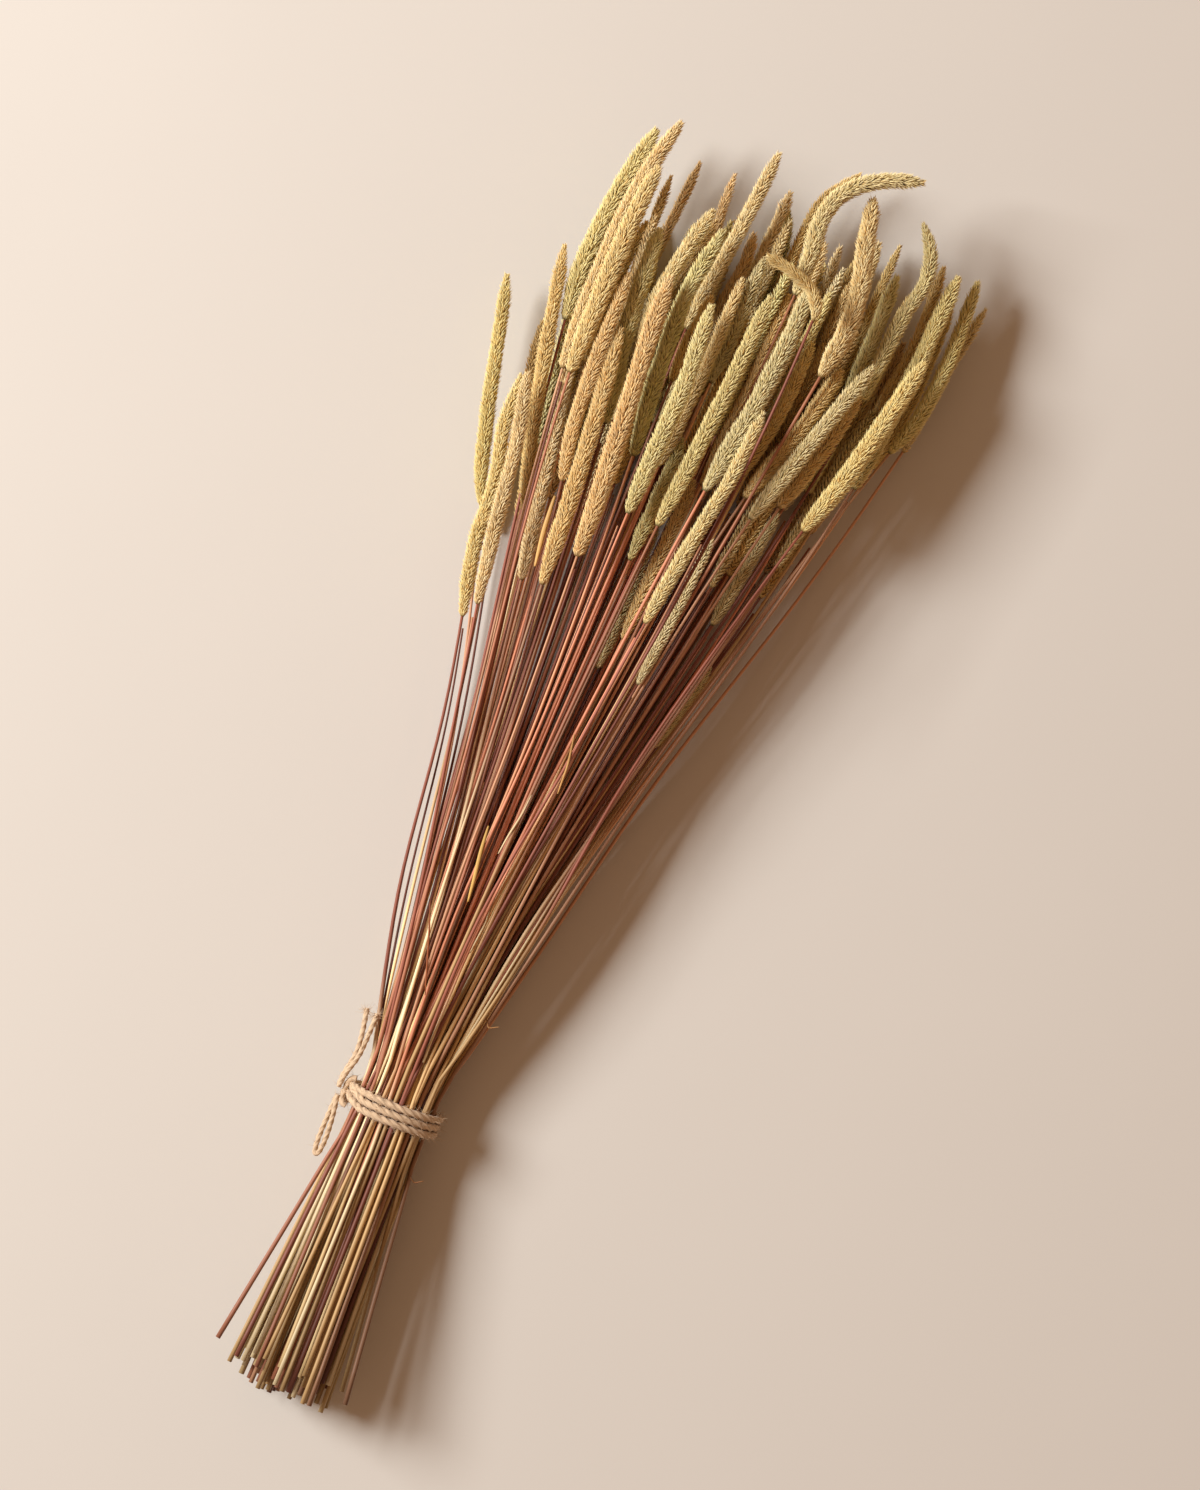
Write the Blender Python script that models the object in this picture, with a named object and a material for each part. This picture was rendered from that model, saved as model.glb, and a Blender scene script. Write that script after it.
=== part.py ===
"""Bundle of dried timothy grass, tied with jute twine and lying on its side.

Millimetres inside, metres in the finished meshes.  X runs across the bundle, Y from the cut
ends to the heads and Z up.  Each stalk (stem and spike) is one lofted body.  Stalks that press
together under the twine are fused in twos and threes.
"""
import math
import bpy
import numpy as np

SEED = 21
MM = 0.001

# Where the layout's own zero (middle of the tie, on the surface) goes in the finished part.
SHIFT_X = -5.5
SHIFT_Y = -133.0

# Tie and stems
TIE_HALF_WIDTH = 15.0
TIE_HALF_HEIGHT = 11.0
TWINE = 2.8
TURN = 3.0
PRESSED = 0.36
PLAY = 0.6
TIE_Z = TIE_HALF_HEIGHT + PLAY + TWINE - PRESSED
CUT_Y = -106.0
STEM_CUT = 0.96
STEM_TIE = 0.74
STEM_FAN = 0.64
STEM_TOP = 0.50
CORNERS = 1.12
GAP = 0.38
PARTNER = 0.38
PRESS = 1.7

# Pile of heads: its height over the surface at the middle and at the edges
PILE_X = 5.0
PILE_HALF = 92.0
PILE_EDGE = 15.0
PILE_RISE = 38.0

# Heights at which every stalk may bend, and the closer heights where it keeps clear of others
KNOTS = np.array([-113.0, -14, 14, 75, 140, 205, 230, 255, 280, 305, 330, 355, 381])
STATIONS = np.arange(-112.0, 381.0, 6.0)
ROUNDS = 360

# Spikes seen from above: width, layer (0 on the surface, 1 on top), colour, then X and Y of the
# middle line from the base to the tip.
SPIKES = (
    (5.5, 0.35, "straw", ((-54, 214), (-58, 222), (-66, 250), (-72, 275), (-77, 294))),
    (5.5, 0.60, "tan", ((-38, 217), (-47, 245), (-53, 272), (-57, 290), (-61.5, 311))),
    (7.5, 0.55, "green", ((-51.5, 287), (-53, 310), (-52, 330), (-47, 362))),
    (6.5, 0.72, "straw", ((-45, 270), (-46, 300), (-46, 330), (-43.5, 350), (-39.5, 367.5))),
    (7.5, 0.98, "straw", ((-42, 269), (-42, 300), (-42, 330), (-40.5, 348))),
    (4.0, 0.22, "tan", ((-34, 275), (-35, 310), (-36, 350))),
    (4.0, 0.30, "tan", ((-31, 280), (-30.5, 320), (-28, 358))),
    (4.5, 0.50, "tan", ((-38, 275), (-38.5, 290), (-39, 310), (-37.5, 330))),
    (7.0, 0.78, "green", ((-23.5, 257), (-24.5, 265), (-28, 280), (-30, 300), (-32, 328.5))),
    (5.5, 0.92, "tan", ((-29.5, 232), (-33, 250), (-34.5, 280), (-35.5, 309))),
    (6.0, 0.70, "straw", ((-24, 285), (-24, 305), (-22, 320), (-17, 342))),
    (4.0, 0.45, "tan", ((-19, 285), (-18, 315), (-17, 325), (-14.5, 340))),
    (7.5, 0.99, "tan", ((-14.5, 209), (-15, 225), (-17, 255), (-20, 285), (-21.5, 313))),
    (6.5, 0.80, "green", ((-9.5, 250), (-12.5, 275), (-14.5, 310), (-10.5, 336))),
    (5.5, 0.55, "straw", ((-9, 300), (-8, 312), (-6, 325), (-4.5, 340), (-2.5, 370))),
    (3.5, 0.30, "tan", ((-11, 300), (-12.5, 335), (-14, 345), (-14.5, 358.5))),
    (5.0, 0.62, "tan", ((-8, 280), (-8, 295), (-7, 313))),
    (6.5, 0.95, "green", ((-3.5, 230), (-3, 250), (-2, 280), (-4, 309))),
    (5.0, 0.72, "straw", ((0, 250), (1, 265), (2.5, 295), (2.5, 323))),
    (5.0, 0.45, "tan", ((-1, 290), (0, 320), (1.5, 330), (0, 341))),
    (5.0, 0.38, "straw", ((4, 295), (6, 335), (6.5, 360))),
    (4.0, 0.25, "green", ((14, 300), (12, 343), (8, 355))),
    (5.0, 0.60, "green", ((6, 285), (7, 310), (6.5, 320), (7, 333))),
    (6.0, 0.88, "green", ((8, 230), (11, 262), (13, 290), (14, 320))),
    (5.0, 0.55, "tan", ((17, 250), (18, 262), (20, 290), (20, 325))),
    (7.0, 0.90, "green", ((19, 248), (24, 280), (26.5, 310), (26, 328.5))),
    (5.2, 1.00, "straw", ((17.5, 196), (21, 225), (26, 255), (27.5, 281))),
    (5.0, 0.50, "straw", ((24, 285), (25, 330), (25, 347))),
    (4.0, 0.35, "tan", ((16, 300), (16, 340), (17, 362), (27, 376))),
    (7.5, 0.86, "straw", ((41, 301.5), (44, 320), (43, 335), (40, 345), (37, 358), (35, 367))),
    (5.5, 0.25, "straw", ((45, 290), (44, 320), (43, 356))),
    (4.0, 0.18, "tan", ((37, 280), (37.5, 320), (37.5, 348))),
    (4.0, 0.40, "tan", ((37, 275), (39, 310), (39, 338))),
    (5.0, 0.58, "straw", ((31, 265), (32, 305), (33.5, 331))),
    (3.5, 0.30, "tan", ((48.5, 285), (49.5, 325), (50.5, 358))),
    (6.0, 0.62, "green", ((53, 262), (54, 300), (54, 320), (53.5, 346))),
    (6.0, 0.92, "green", ((37.5, 245), (45, 270), (54, 300), (57.5, 311.5))),
    (6.0, 0.80, "tan", ((32.5, 251.5), (42, 280), (47.5, 306))),
    (5.0, 0.72, "straw", ((27, 255), (31, 270), (33.5, 285), (34.5, 311))),
    (4.0, 0.28, "straw", ((30, 290), (31, 330), (30.5, 349))),
    (5.5, 0.75, "green", ((58, 300), (60, 330), (62, 340), (64, 347), (63, 355), (60, 362), (55.5, 367))),
    (4.5, 0.55, "tan", ((66, 290), (66, 305), (69, 320), (69, 335), (68, 356))),
    (7.0, 0.75, "green", ((68, 270), (70, 295), (73, 320), (73, 335), (74, 354))),
    (5.0, 0.35, "tan", ((72, 280), (76, 310), (76, 345))),
    (7.0, 1.00, "straw", ((56.5, 248.5), (63, 268), (69, 295), (74, 320))),
    (5.5, 0.70, "green", ((75, 287), (80, 300), (82, 315), (82.5, 330), (81.5, 356))),
    (4.0, 0.30, "straw", ((80, 290), (84, 325), (88, 349))),
    (6.0, 0.30, "tan", ((58, 265), (60, 300), (61, 342))),
    (5.5, 0.20, "tan", ((60, 250), (64, 290), (65, 326))),
    (6.0, 0.72, "tan", ((45.5, 253), (53, 280), (57, 300))),
    (4.5, 0.55, "green", ((39.5, 205), (43, 228), (46, 250))),
    (5.5, 0.55, "straw", ((-44, 174), (-48, 190), (-51, 205), (-51, 218), (-53, 230), (-57, 240), (-58, 262))),
    (5.5, 0.85, "straw", ((-41, 180), (-46, 210), (-50, 240), (-56, 263))),
    (6.0, 0.72, "straw", ((-30, 194), (-33, 210), (-38, 240), (-44, 275))),
    (6.5, 0.88, "tan", ((-22, 195), (-24, 225), (-27, 255), (-31, 290))),
    (4.5, 0.75, "green", ((3.5, 215), (4, 239), (4.5, 262))),
    (5.0, 0.60, "tan", ((12, 188), (13, 220), (14, 250))),
    (5.0, 0.50, "green", ((7, 175), (7.5, 205), (7, 232))),
    (3.8, 0.70, "green", ((23, 175), (26, 205), (28, 232))),
    (3.8, 0.40, "green", ((35, 153), (39, 165), (45, 190))),
    (6.5, 0.90, "green", ((22, 325), (22, 342), (20, 350), (21, 360), (25, 367), (32, 373), (40, 377), (48.5, 379.5))),
    (4.6, 1.05, "straw", ((31.5, 318), (31, 322), (28, 327), (22, 330), (15, 332), (8, 333))),
)
CROSSING = len(SPIKES) - 1
HIDDEN = 55
NODES = 56

# Free lengths of twine from the knot on the left side of the tie
TWINE_END = 2.0
UPPER_END = ((-21.6, -0.3, 15.2), (-21.2, 5, 16.8), (-18.8, 12, 18), (-18.6, 20, 19), (-18.4, 29.5, 18.5))
LOWER_END = ((-21.7, -0.3, 12.8), (-21.9, 5, 13.6), (-20.0, 12, 14.8), (-20.8, 20, 14.4), (-22.8, 29.5, 12))
LOOP = ((-20.8, -3.2, 15.4), (-19.6, -9, 15.2), (-18.6, -18, 13), (-18.6, -26, 11), (-20.0, -30.5, 10),
        (-21.4, -26, 10), (-21.4, -18, 11.6), (-21.2, -9, 12.6), (-20.9, -3.2, 12.7))

COLOURS = {
    "straw": (0.62, 0.47, 0.22),
    "tan": (0.44, 0.29, 0.13),
    "green": (0.46, 0.41, 0.20),
    "jute": (0.50, 0.33, 0.15),
}


# Layout of the stalks
def pile_height(x):
    """Height of the pile of heads over the surface."""
    share = np.clip(np.abs(np.asarray(x, float) - PILE_X) / PILE_HALF, 0, 1)
    return PILE_EDGE + PILE_RISE * (1 - share ** 2)


def hidden_spikes(rng):
    """Spikes of the lower layers, spread over the fan under the ones seen from above."""
    spikes = []
    for k in range(HIDDEN):
        across = -0.92 + 1.84 * ((k + 0.5) / HIDDEN) + rng.uniform(-0.03, 0.03)
        tip_y = 342 - 40 * across ** 2 + rng.uniform(-38, 12)
        length = rng.uniform(55, 85)
        base_y = tip_y - length
        tip = (PILE_X + across * 66 + rng.uniform(-3, 3), tip_y)
        base = (tip[0] * (base_y + 70) / (tip_y + 70), base_y)
        layer = (0.02, 0.36, 0.14, 0.50, 0.24)[k % 5] + rng.uniform(0, 0.06)
        tint = ("tan", "straw", "tan", "green")[(k * 3) % 4]
        spikes.append((rng.uniform(4.3, 5.4), layer, tint, (base, tip)))
    return spikes


def hermite(t, a, b, slope_a, slope_b, span):
    """Cubic from a to b with the given slopes."""
    h = t * t * (3 - 2 * t)
    rise = a + (b - a) * h
    rise = rise + slope_a * span * (t ** 3 - 2 * t * t + t)
    return rise + slope_b * span * (t ** 3 - t * t)


def tie_places(xs, zs):
    """Place of each stalk in the tie: columns filled from the left, each from the bottom."""
    count = len(xs)
    columns = 15
    centres = (np.arange(columns) + 0.5) / columns * 2 - 1
    share = np.sqrt(1 - centres ** 2)
    ends = np.round(np.cumsum(share) / share.sum() * count).astype(int)
    order = np.argsort(xs, kind="stable")
    places = np.zeros((count, 2))
    chain = []
    start = 0
    for c, end in enumerate(ends):
        members = order[start:end]
        members = members[np.argsort(zs[members], kind="stable")]
        level = (np.arange(len(members)) + 0.5) / max(1, len(members)) * 2 - 1
        places[members, 0] = centres[c] * (TIE_HALF_WIDTH - 1.5)
        places[members, 1] = TIE_Z + level * share[c] * (TIE_HALF_HEIGHT - 1.0)
        chain.extend(members if c % 2 == 0 else members[::-1])
        start = end
    return places, np.array(chain)


def shape_table(rng):
    """Every stalk's data in arrays: middle line before it is moved clear of its neighbours."""
    spikes = list(SPIKES) + hidden_spikes(rng)
    count = len(spikes)
    base = np.array([s[3][0] for s in spikes], float)
    tip = np.array([s[3][-1] for s in spikes], float)
    width = np.array([s[0] for s in spikes], float)
    layer = np.array([s[1] for s in spikes], float)
    seen = np.arange(count) < len(SPIKES)
    middle = 0.5 * (base[:, 0] + tip[:, 0])
    rest = width / 2 + layer * np.maximum(pile_height(middle) - width, 4)
    places, chain = tie_places(middle + 0.02 * base[:, 1], rest)
    cut = np.empty((count, 3))
    cut[:, 0] = places[:, 0] * 1.25 + rng.uniform(-1.8, 1.8, count)
    cut[:, 1] = CUT_Y + rng.uniform(-6.5, 6.0, count)
    cut[:, 2] = TIE_Z + (places[:, 1] - TIE_Z) * 1.15 + rng.uniform(-1.0, 1.0, count)
    left = int(np.argmin(places[:, 0] - 0.01 * places[:, 1]))
    right = int(np.argmax(places[:, 0] + 0.01 * places[:, 1]))
    cut[left] = (-25.0, -100.0, TIE_Z + 4)
    cut[right] = (22.5, -104.5, TIE_Z + 2)
    thick = rng.uniform(0.86, 1.1, count)
    rise = rng.uniform(-3.0, 3.0, count) - 2.0 * (layer > 0.6)
    return dict(spikes=spikes, base=base, tip=tip, width=width, layer=layer, seen=seen,
                rest=rest, places=places, chain=chain, cut=cut, thick=thick, rise=rise)


def middle_line(t, i, ys):
    """X and Z of stalk i at the heights ys, before the stalks are moved apart."""
    points = np.array(t["spikes"][i][3], float)
    start = points[0]
    slope = (points[1, 0] - start[0]) / (points[1, 1] - start[1])
    tie_x, tie_z = t["places"][i]
    ys = np.asarray(ys, float)
    stem_y = np.append(KNOTS[(KNOTS >= 14) & (KNOTS < start[1] - 8)], start[1])
    part = (stem_y - 14) / (start[1] - 14)
    chord = (start[0] - tie_x) / (start[1] - 14)
    stem_x = hermite(part, tie_x, start[0], 0.4 * chord, 0.5 * (slope + chord), start[1] - 14)
    climb = (t["rest"][i] - tie_z) / (start[1] - 14)
    stem_z = hermite(part, tie_z, t["rest"][i], climb, 0.3 * climb, start[1] - 14)
    cut = t["cut"][i]
    line_y = np.concatenate(([-113.0, -14.0], stem_y))
    line_x = np.concatenate(([cut[0], tie_x], stem_x))
    line_z = np.concatenate(([cut[2], tie_z], stem_z))
    head = ys > start[1]
    x = np.interp(ys, line_y, line_x)
    z = np.interp(ys, line_y, line_z)
    curve = spike_curve(points)
    along = np.interp(ys, curve[:, 1], np.linspace(0, 1, len(curve)))
    head_x = np.interp(ys, curve[:, 1], curve[:, 0])
    return np.where(head, head_x, x), np.where(head, spike_z(t, i, along), z)


def spike_z(t, i, along):
    """Height of a spike's middle line over the surface, from 0 at its base to 1 at its tip."""
    base, tip = t["base"][i], t["tip"][i]
    climb = 0.3 * (t["rest"][i] - t["places"][i, 1]) / (base[1] - 14)
    rise = climb * (tip[1] - base[1]) * along * (1 - along)
    return t["rest"][i] + t["rise"][i] * along ** 2 + rise


def spike_curve(points):
    """The spike's middle line with its corners rounded, at 60 even steps: X and Y."""
    step = np.sqrt((np.diff(points, axis=0) ** 2).sum(axis=1))
    along = np.concatenate(([0], np.cumsum(step)))
    even = np.linspace(0, along[-1], 60)
    curve = np.stack([np.interp(even, along, points[:, c]) for c in (0, 1)], axis=1)
    for _ in range(14):
        curve[1:-1] = 0.25 * curve[:-2] + 0.5 * curve[1:-1] + 0.25 * curve[2:]
    return curve


def stem_radius(t, i, ys):
    """Half thickness of the stem: thickest at the cut end."""
    ys = np.asarray(ys, float)
    fall = np.interp(ys, (-110, 0, 60, t["base"][i, 1]), (STEM_CUT, STEM_TIE, STEM_FAN, STEM_TOP))
    return fall * t["thick"][i]


def spike_radius(width, along):
    """Half width of a spike, from 0 at its base to 1 at its tip: widest low down, blunt tip."""
    start = np.clip(along / 0.16, 0, 1) ** 0.7
    end = np.sqrt(1 - 0.86 * np.clip((along - 0.80) / 0.20, 0, 1) ** 2)
    return width / 2 * (0.38 + 0.62 * start) * end * (1 - 0.20 * along ** 1.6)


def clearance_radius(t, i, ys):
    """Half thickness that the stalk keeps for itself at each height."""
    base, tip = t["base"][i, 1], t["tip"][i, 1]
    along = (ys - base) / (tip - base)
    stem = stem_radius(t, i, ys) * CORNERS
    spike = np.maximum(spike_radius(t["width"][i], np.clip(along, 0, 1)), stem)
    return np.where(ys < base - 3, stem, np.where(ys > base, spike, np.maximum(stem, 1.0)))


def partners(t):
    """Stalks that share a node, pressed together under the twine, as lists of two or three."""
    chain = t["chain"]
    ends = np.round(np.arange(NODES + 1) * len(chain) / NODES).astype(int)
    return [[int(c) for c in chain[a:b]] for a, b in zip(ends[:-1], ends[1:])]


def near_pairs(now, live, margin):
    """Pairs of stalks, both ways round and sorted, that come within the margin of each other."""
    count = len(now)
    first = []
    second = []
    for i in range(count):
        gap = np.abs(now - now[i]).max(axis=2)
        gap[~(live & live[i])] = 1e3
        near = np.flatnonzero(gap.min(axis=1) < margin)
        near = near[near != i]
        first.extend([i] * len(near))
        second.extend(near)
    return np.array(first), np.array(second)


def settle(t):
    """Move the stalks apart until none touches another; returns the shift at each knot."""
    count = len(t["spikes"])
    lines = [middle_line(t, i, STATIONS) for i in range(count)]
    place = np.stack([np.array(line).T for line in lines])
    radius = np.stack([clearance_radius(t, i, STATIONS) for i in range(count)])
    slope = np.gradient(place, STATIONS, axis=1)
    radius *= np.sqrt(1 + np.clip((slope ** 2).sum(axis=2), 0, 1.2))
    live = (STATIONS[None] > t["cut"][:, 1:2] - 7) & (STATIONS[None] < t["tip"][:, 1:2] + 3)
    low = np.clip(np.searchsorted(KNOTS, STATIONS) - 1, 0, len(KNOTS) - 2)
    share = (STATIONS - KNOTS[low]) / (KNOTS[low + 1] - KNOTS[low])
    weight = np.zeros((len(STATIONS), len(KNOTS)))
    weight[np.arange(len(STATIONS)), low] = 1 - share
    weight[np.arange(len(STATIONS)), low + 1] += share
    tie = np.abs(STATIONS) < 15
    joined = np.zeros((count, count), bool)
    for group in partners(t):
        joined[group[:-1], group[1:]] = True
        joined[group[1:], group[:-1]] = True
    ease = np.ones((count, len(STATIONS), 2))
    spike = t["seen"][:, None] & (STATIONS[None] > t["base"][:, 1:2] - 4)
    ease[spike, 0] = 0.12
    firm = t["seen"][:, None] & (KNOTS[None] > t["base"][:, 1:2] - 20)
    pull = np.where(firm, 0.05, 0.012)
    stiff = np.where((KNOTS > 20) & (KNOTS < 220), 0.28, 0.12)
    shift = np.zeros((count, len(KNOTS), 2))
    now = place
    for step in range(ROUNDS):
        if step % 40 == 0:
            a, b = near_pairs(now, live, 9.0)
            starts = np.searchsorted(a, np.arange(count))
            width = radius[a] + radius[b]
            need = np.where(live[a] & live[b], width + GAP, 0)
            tight = joined[a, b][:, None] & tie[None]
            ratio = ease[a] / (ease[a] + ease[b])
        if step < ROUNDS * 0.64:
            shift[:, :, 0] *= 1 - pull
            shift[:, :, 1] *= 1 - 0.012
            bend = shift[:, :-2] + shift[:, 2:] - 2 * shift[:, 1:-1]
            shift[:, 1:-1] += bend * stiff[1:-1, None]
        now = place + np.einsum("sk,ikc->isc", weight, shift)
        gap = now[a] - now[b]
        far = np.sqrt(gap[..., 0] ** 2 + gap[..., 1] ** 2) + 1e-9
        lack = np.where(tight, PARTNER * width - far, np.maximum(need - far, 0))
        push = (lack / far * np.where(tight, PRESS, 1.0))[..., None] * gap * ratio
        move = np.add.reduceat(push, starts, axis=0)
        hits = np.add.reduceat((np.abs(lack) > 1e-4).astype(float), starts, axis=0)
        move /= np.maximum(1, 0.55 * hits)[..., None]
        move[:, :, 1] += np.maximum(radius + 0.20 - now[:, :, 1], 0) * live
        off_x = now[:, :, 0] / (TIE_HALF_WIDTH - radius)
        off_z = (now[:, :, 1] - TIE_Z) / (TIE_HALF_HEIGHT - radius)
        out = np.sqrt(off_x ** 2 + off_z ** 2)
        back = np.where((out > 1) & tie[None], 1 / np.maximum(out, 1e-6) - 1, 0)
        move[:, :, 0] += now[:, :, 0] * back
        move[:, :, 1] += (now[:, :, 1] - TIE_Z) * back
        used = (np.abs(move).sum(axis=2) > 1e-5).astype(float)
        total = np.einsum("sk,isc->ikc", weight, move)
        spread = np.einsum("sk,is->ik", weight, used)
        shift += 1.15 * total / np.maximum(spread, 0.35)[..., None]
    return np.round(shift, 4)


def shifted(shift, i, xyz):
    """Points of stalk i moved by what its knots are moved."""
    moved = np.array(xyz, float)
    moved[:, 0] += np.interp(xyz[:, 1], KNOTS, shift[i, :, 0])
    moved[:, 2] += np.interp(xyz[:, 1], KNOTS, shift[i, :, 1])
    return moved


def spike_points(t, shift, i, along):
    """Middle line of a spike at the given shares of its length."""
    curve = spike_curve(np.array(t["spikes"][i][3], float))
    steps = np.linspace(0, 1, len(curve))
    x = np.interp(along, steps, curve[:, 0])
    y = np.interp(along, steps, curve[:, 1])
    return shifted(shift, i, np.stack((x, y, spike_z(t, i, along)), axis=1))


def stem_points(t, shift, i, ys):
    """Middle line of a stem at the given heights."""
    x, z = middle_line(t, i, ys)
    return shifted(shift, i, np.stack((x, ys, z), axis=1))


def lay_across(t, shift):
    """Lift the spike that lies across the others until it clears them all."""
    along = np.linspace(0, 1, 24)
    mine = spike_points(t, shift, CROSSING, along)
    mine_r = spike_radius(t["width"][CROSSING], along)
    lift = 0.0
    for i in range(len(t["spikes"])):
        if i == CROSSING:
            continue
        other = spike_points(t, shift, i, np.linspace(0, 1, 40))
        reach = mine_r[:, None] + spike_radius(t["width"][i], np.linspace(0, 1, 40)) + GAP
        flat = ((mine[:, None, :2] - other[None, :, :2]) ** 2).sum(axis=2)
        over = np.sqrt(np.clip(reach ** 2 - flat, 0, None)) + other[None, :, 2] - mine[:, None, 2]
        lift = max(lift, float(np.where(flat < reach ** 2, over, 0).max()))
    shift[CROSSING, :, 1] += lift * np.interp(KNOTS, (140, 305), (0, 1))
    return shift


# Bodies
def ring_frames(points):
    """Side and up directions square to a middle line, with its direction."""
    way = np.gradient(points, axis=0)
    way /= np.linalg.norm(way, axis=1)[:, None]
    side = np.cross(way, (0.0, 0.0, 1.0))
    side /= np.linalg.norm(side, axis=1)[:, None]
    return way, side, np.cross(side, way)


def rings(points, radii, sides, turn, relief, slide):
    """Rings of vertices round a middle line; relief makes every other vertex stand in."""
    way, side, up = ring_frames(points)
    angle = turn - (np.arange(sides) / sides)[None] * 2 * math.pi
    odd = (np.arange(sides)[None] + np.arange(len(points))[:, None]) % 2
    reach = radii[:, None] * (1 - relief[:, None] * odd)
    slip = slide[:, None] * (1 - odd)
    ring = points[:, None] + reach[..., None] * np.cos(angle)[..., None] * side[:, None]
    ring = ring + reach[..., None] * np.sin(angle)[..., None] * up[:, None]
    return ring + slip[..., None] * way[:, None]


def bridge(a, b):
    """Triangles between two rings of vertex numbers that may differ in size."""
    faces = []
    i = 0
    j = 0
    while i < len(a) or j < len(b):
        step_a = (i + 1) / len(a) if i < len(a) else 2
        step_b = (j + 1) / len(b) if j < len(b) else 2
        if step_a <= step_b:
            faces.append((a[i % len(a)], a[(i + 1) % len(a)], b[j % len(b)]))
            i += 1
        else:
            faces.append((a[i % len(a)], b[(j + 1) % len(b)], b[j % len(b)]))
            j += 1
    return faces


def loft(sections):
    """Closed body through rings of vertices, capped at both ends."""
    points = np.concatenate(sections)
    faces = []
    numbers = []
    start = 0
    for section in sections:
        numbers.append(list(range(start, start + len(section))))
        start += len(section)
    for a, b in zip(numbers[:-1], numbers[1:]):
        faces.extend(bridge(a, b))
    first, last = numbers[0], numbers[-1]
    faces.extend((first[0], first[k + 1], first[k]) for k in range(1, len(first) - 1))
    faces.extend((last[0], last[k], last[k + 1]) for k in range(1, len(last) - 1))
    return points, faces


def stalk_body(t, shift, i):
    """Stem and spike of one stalk, grown as one body."""
    base_y = t["base"][i, 1]
    inner = KNOTS[(KNOTS > -100) & (KNOTS < base_y - 6)]
    ys = np.concatenate(([t["cut"][i, 1]], inner, [base_y - 1.5]))
    stem = stem_points(t, shift, i, ys)
    none = np.zeros(len(ys))
    reach = stem_radius(t, i, ys) * CORNERS
    stem_rings = rings(stem, reach, 4 if t["seen"][i] else 3, 0.31 * i, none, none)
    length = t["tip"][i, 1] - base_y
    count = max(5, round(length / 12.5)) if t["seen"][i] else 3
    along = np.concatenate(([0.0], np.linspace(0.09, 0.985, count)))
    spike = spike_points(t, shift, i, along)
    reach = spike_radius(t["width"][i], along)
    relief = np.full(len(along), 0.20)
    relief[0] = 0
    relief[-1] = 0
    slide = np.full(len(along), 2.0)
    slide[0] = 0
    slide[-1] = 0
    spike_rings = rings(spike, reach, 6 if t["seen"][i] else 5, 0.5 * i, relief, slide)
    return loft(list(stem_rings) + list(spike_rings))


def twine_section(angle):
    """Outline of the three turns of twine at an angle round the tie: along Y and outward."""
    lean = np.radians((-70.0, -25, 25, 70))
    turns = np.array((-1.0, 0, 1))[:, None] * TURN
    across = (turns + 0.5 * TWINE * np.sin(lean)).ravel()
    out = np.tile(0.5 * TWINE * (1 + np.cos(lean)), 3)
    from_knot = abs((angle - math.pi + math.pi) % (2 * math.pi) - math.pi)
    knot = 2.4 * math.exp(-(from_knot / 0.20) ** 2)
    out = out + knot * np.exp(-(across / 3.4) ** 2)
    from_bottom = abs((angle + math.pi / 2 + math.pi) % (2 * math.pi) - math.pi)
    if from_bottom < 0.2:
        out = np.full(len(out), TWINE)
    across = np.concatenate((across, (TURN + 0.42 * TWINE, -TURN - 0.42 * TWINE)))
    return across, np.concatenate((out, (0.0, 0.0)))


def twine_wrap_body():
    """Three turns of twine pressed side by side round the stems, with the knot on the left."""
    sections = []
    count = 32
    for k in range(count):
        angle = 2 * math.pi * k / count
        across, out = twine_section(angle)
        x = (TIE_HALF_WIDTH + PLAY + out) * math.cos(angle)
        z = TIE_Z + (TIE_HALF_HEIGHT + PLAY + out) * math.sin(angle)
        y = across - 0.6 - 0.9 * math.sin(angle)
        sections.append(np.stack((x, y, np.maximum(z, 0)), axis=1))
    points = np.concatenate(sections)
    size = len(sections[0])
    faces = []
    for k in range(count):
        here = [k * size + n for n in range(size)]
        after = [(k + 1) % count * size + n for n in range(size)]
        faces.extend(bridge(here, after))
    return points, faces


# Objects
def material(name, colour, roughness):
    """Plain material of one colour."""
    made = bpy.data.materials.get(name) or bpy.data.materials.new(name)
    made.use_nodes = True
    shader = made.node_tree.nodes["Principled BSDF"]
    shader.inputs["Base Color"].default_value = (*colour, 1)
    shader.inputs["Roughness"].default_value = roughness
    return made


def add_object(name, body, home, look):
    """Object from points in millimetres and faces, moved to the part's own zero."""
    points, faces = body
    mesh = bpy.data.meshes.new(name)
    place = (points + (SHIFT_X, SHIFT_Y, 0)) * MM
    mesh.from_pydata(place.tolist(), [], [tuple(int(n) for n in face) for face in faces])
    made = bpy.data.objects.new(name, mesh)
    home.objects.link(made)
    if look:
        mesh.materials.append(look)
    return made


def fuse(made, others, name):
    """One Boolean union of an object with others held in a collection of their own."""
    group = bpy.data.collections.new(name)
    bpy.context.scene.collection.children.link(group)
    for other in others:
        group.objects.link(other)
    union = made.modifiers.new("union", "BOOLEAN")
    union.operation = "UNION"
    union.operand_type = "COLLECTION"
    union.collection = group
    union.solver = "EXACT" if len(others) == 1 else "MANIFOLD"
    bpy.context.view_layer.update()
    graph = bpy.context.evaluated_depsgraph_get()
    shape = bpy.data.meshes.new_from_object(made.evaluated_get(graph))
    made.modifiers.clear()
    made.data = shape
    for other in others:
        bpy.data.objects.remove(other)
    bpy.data.collections.remove(group)


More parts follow.
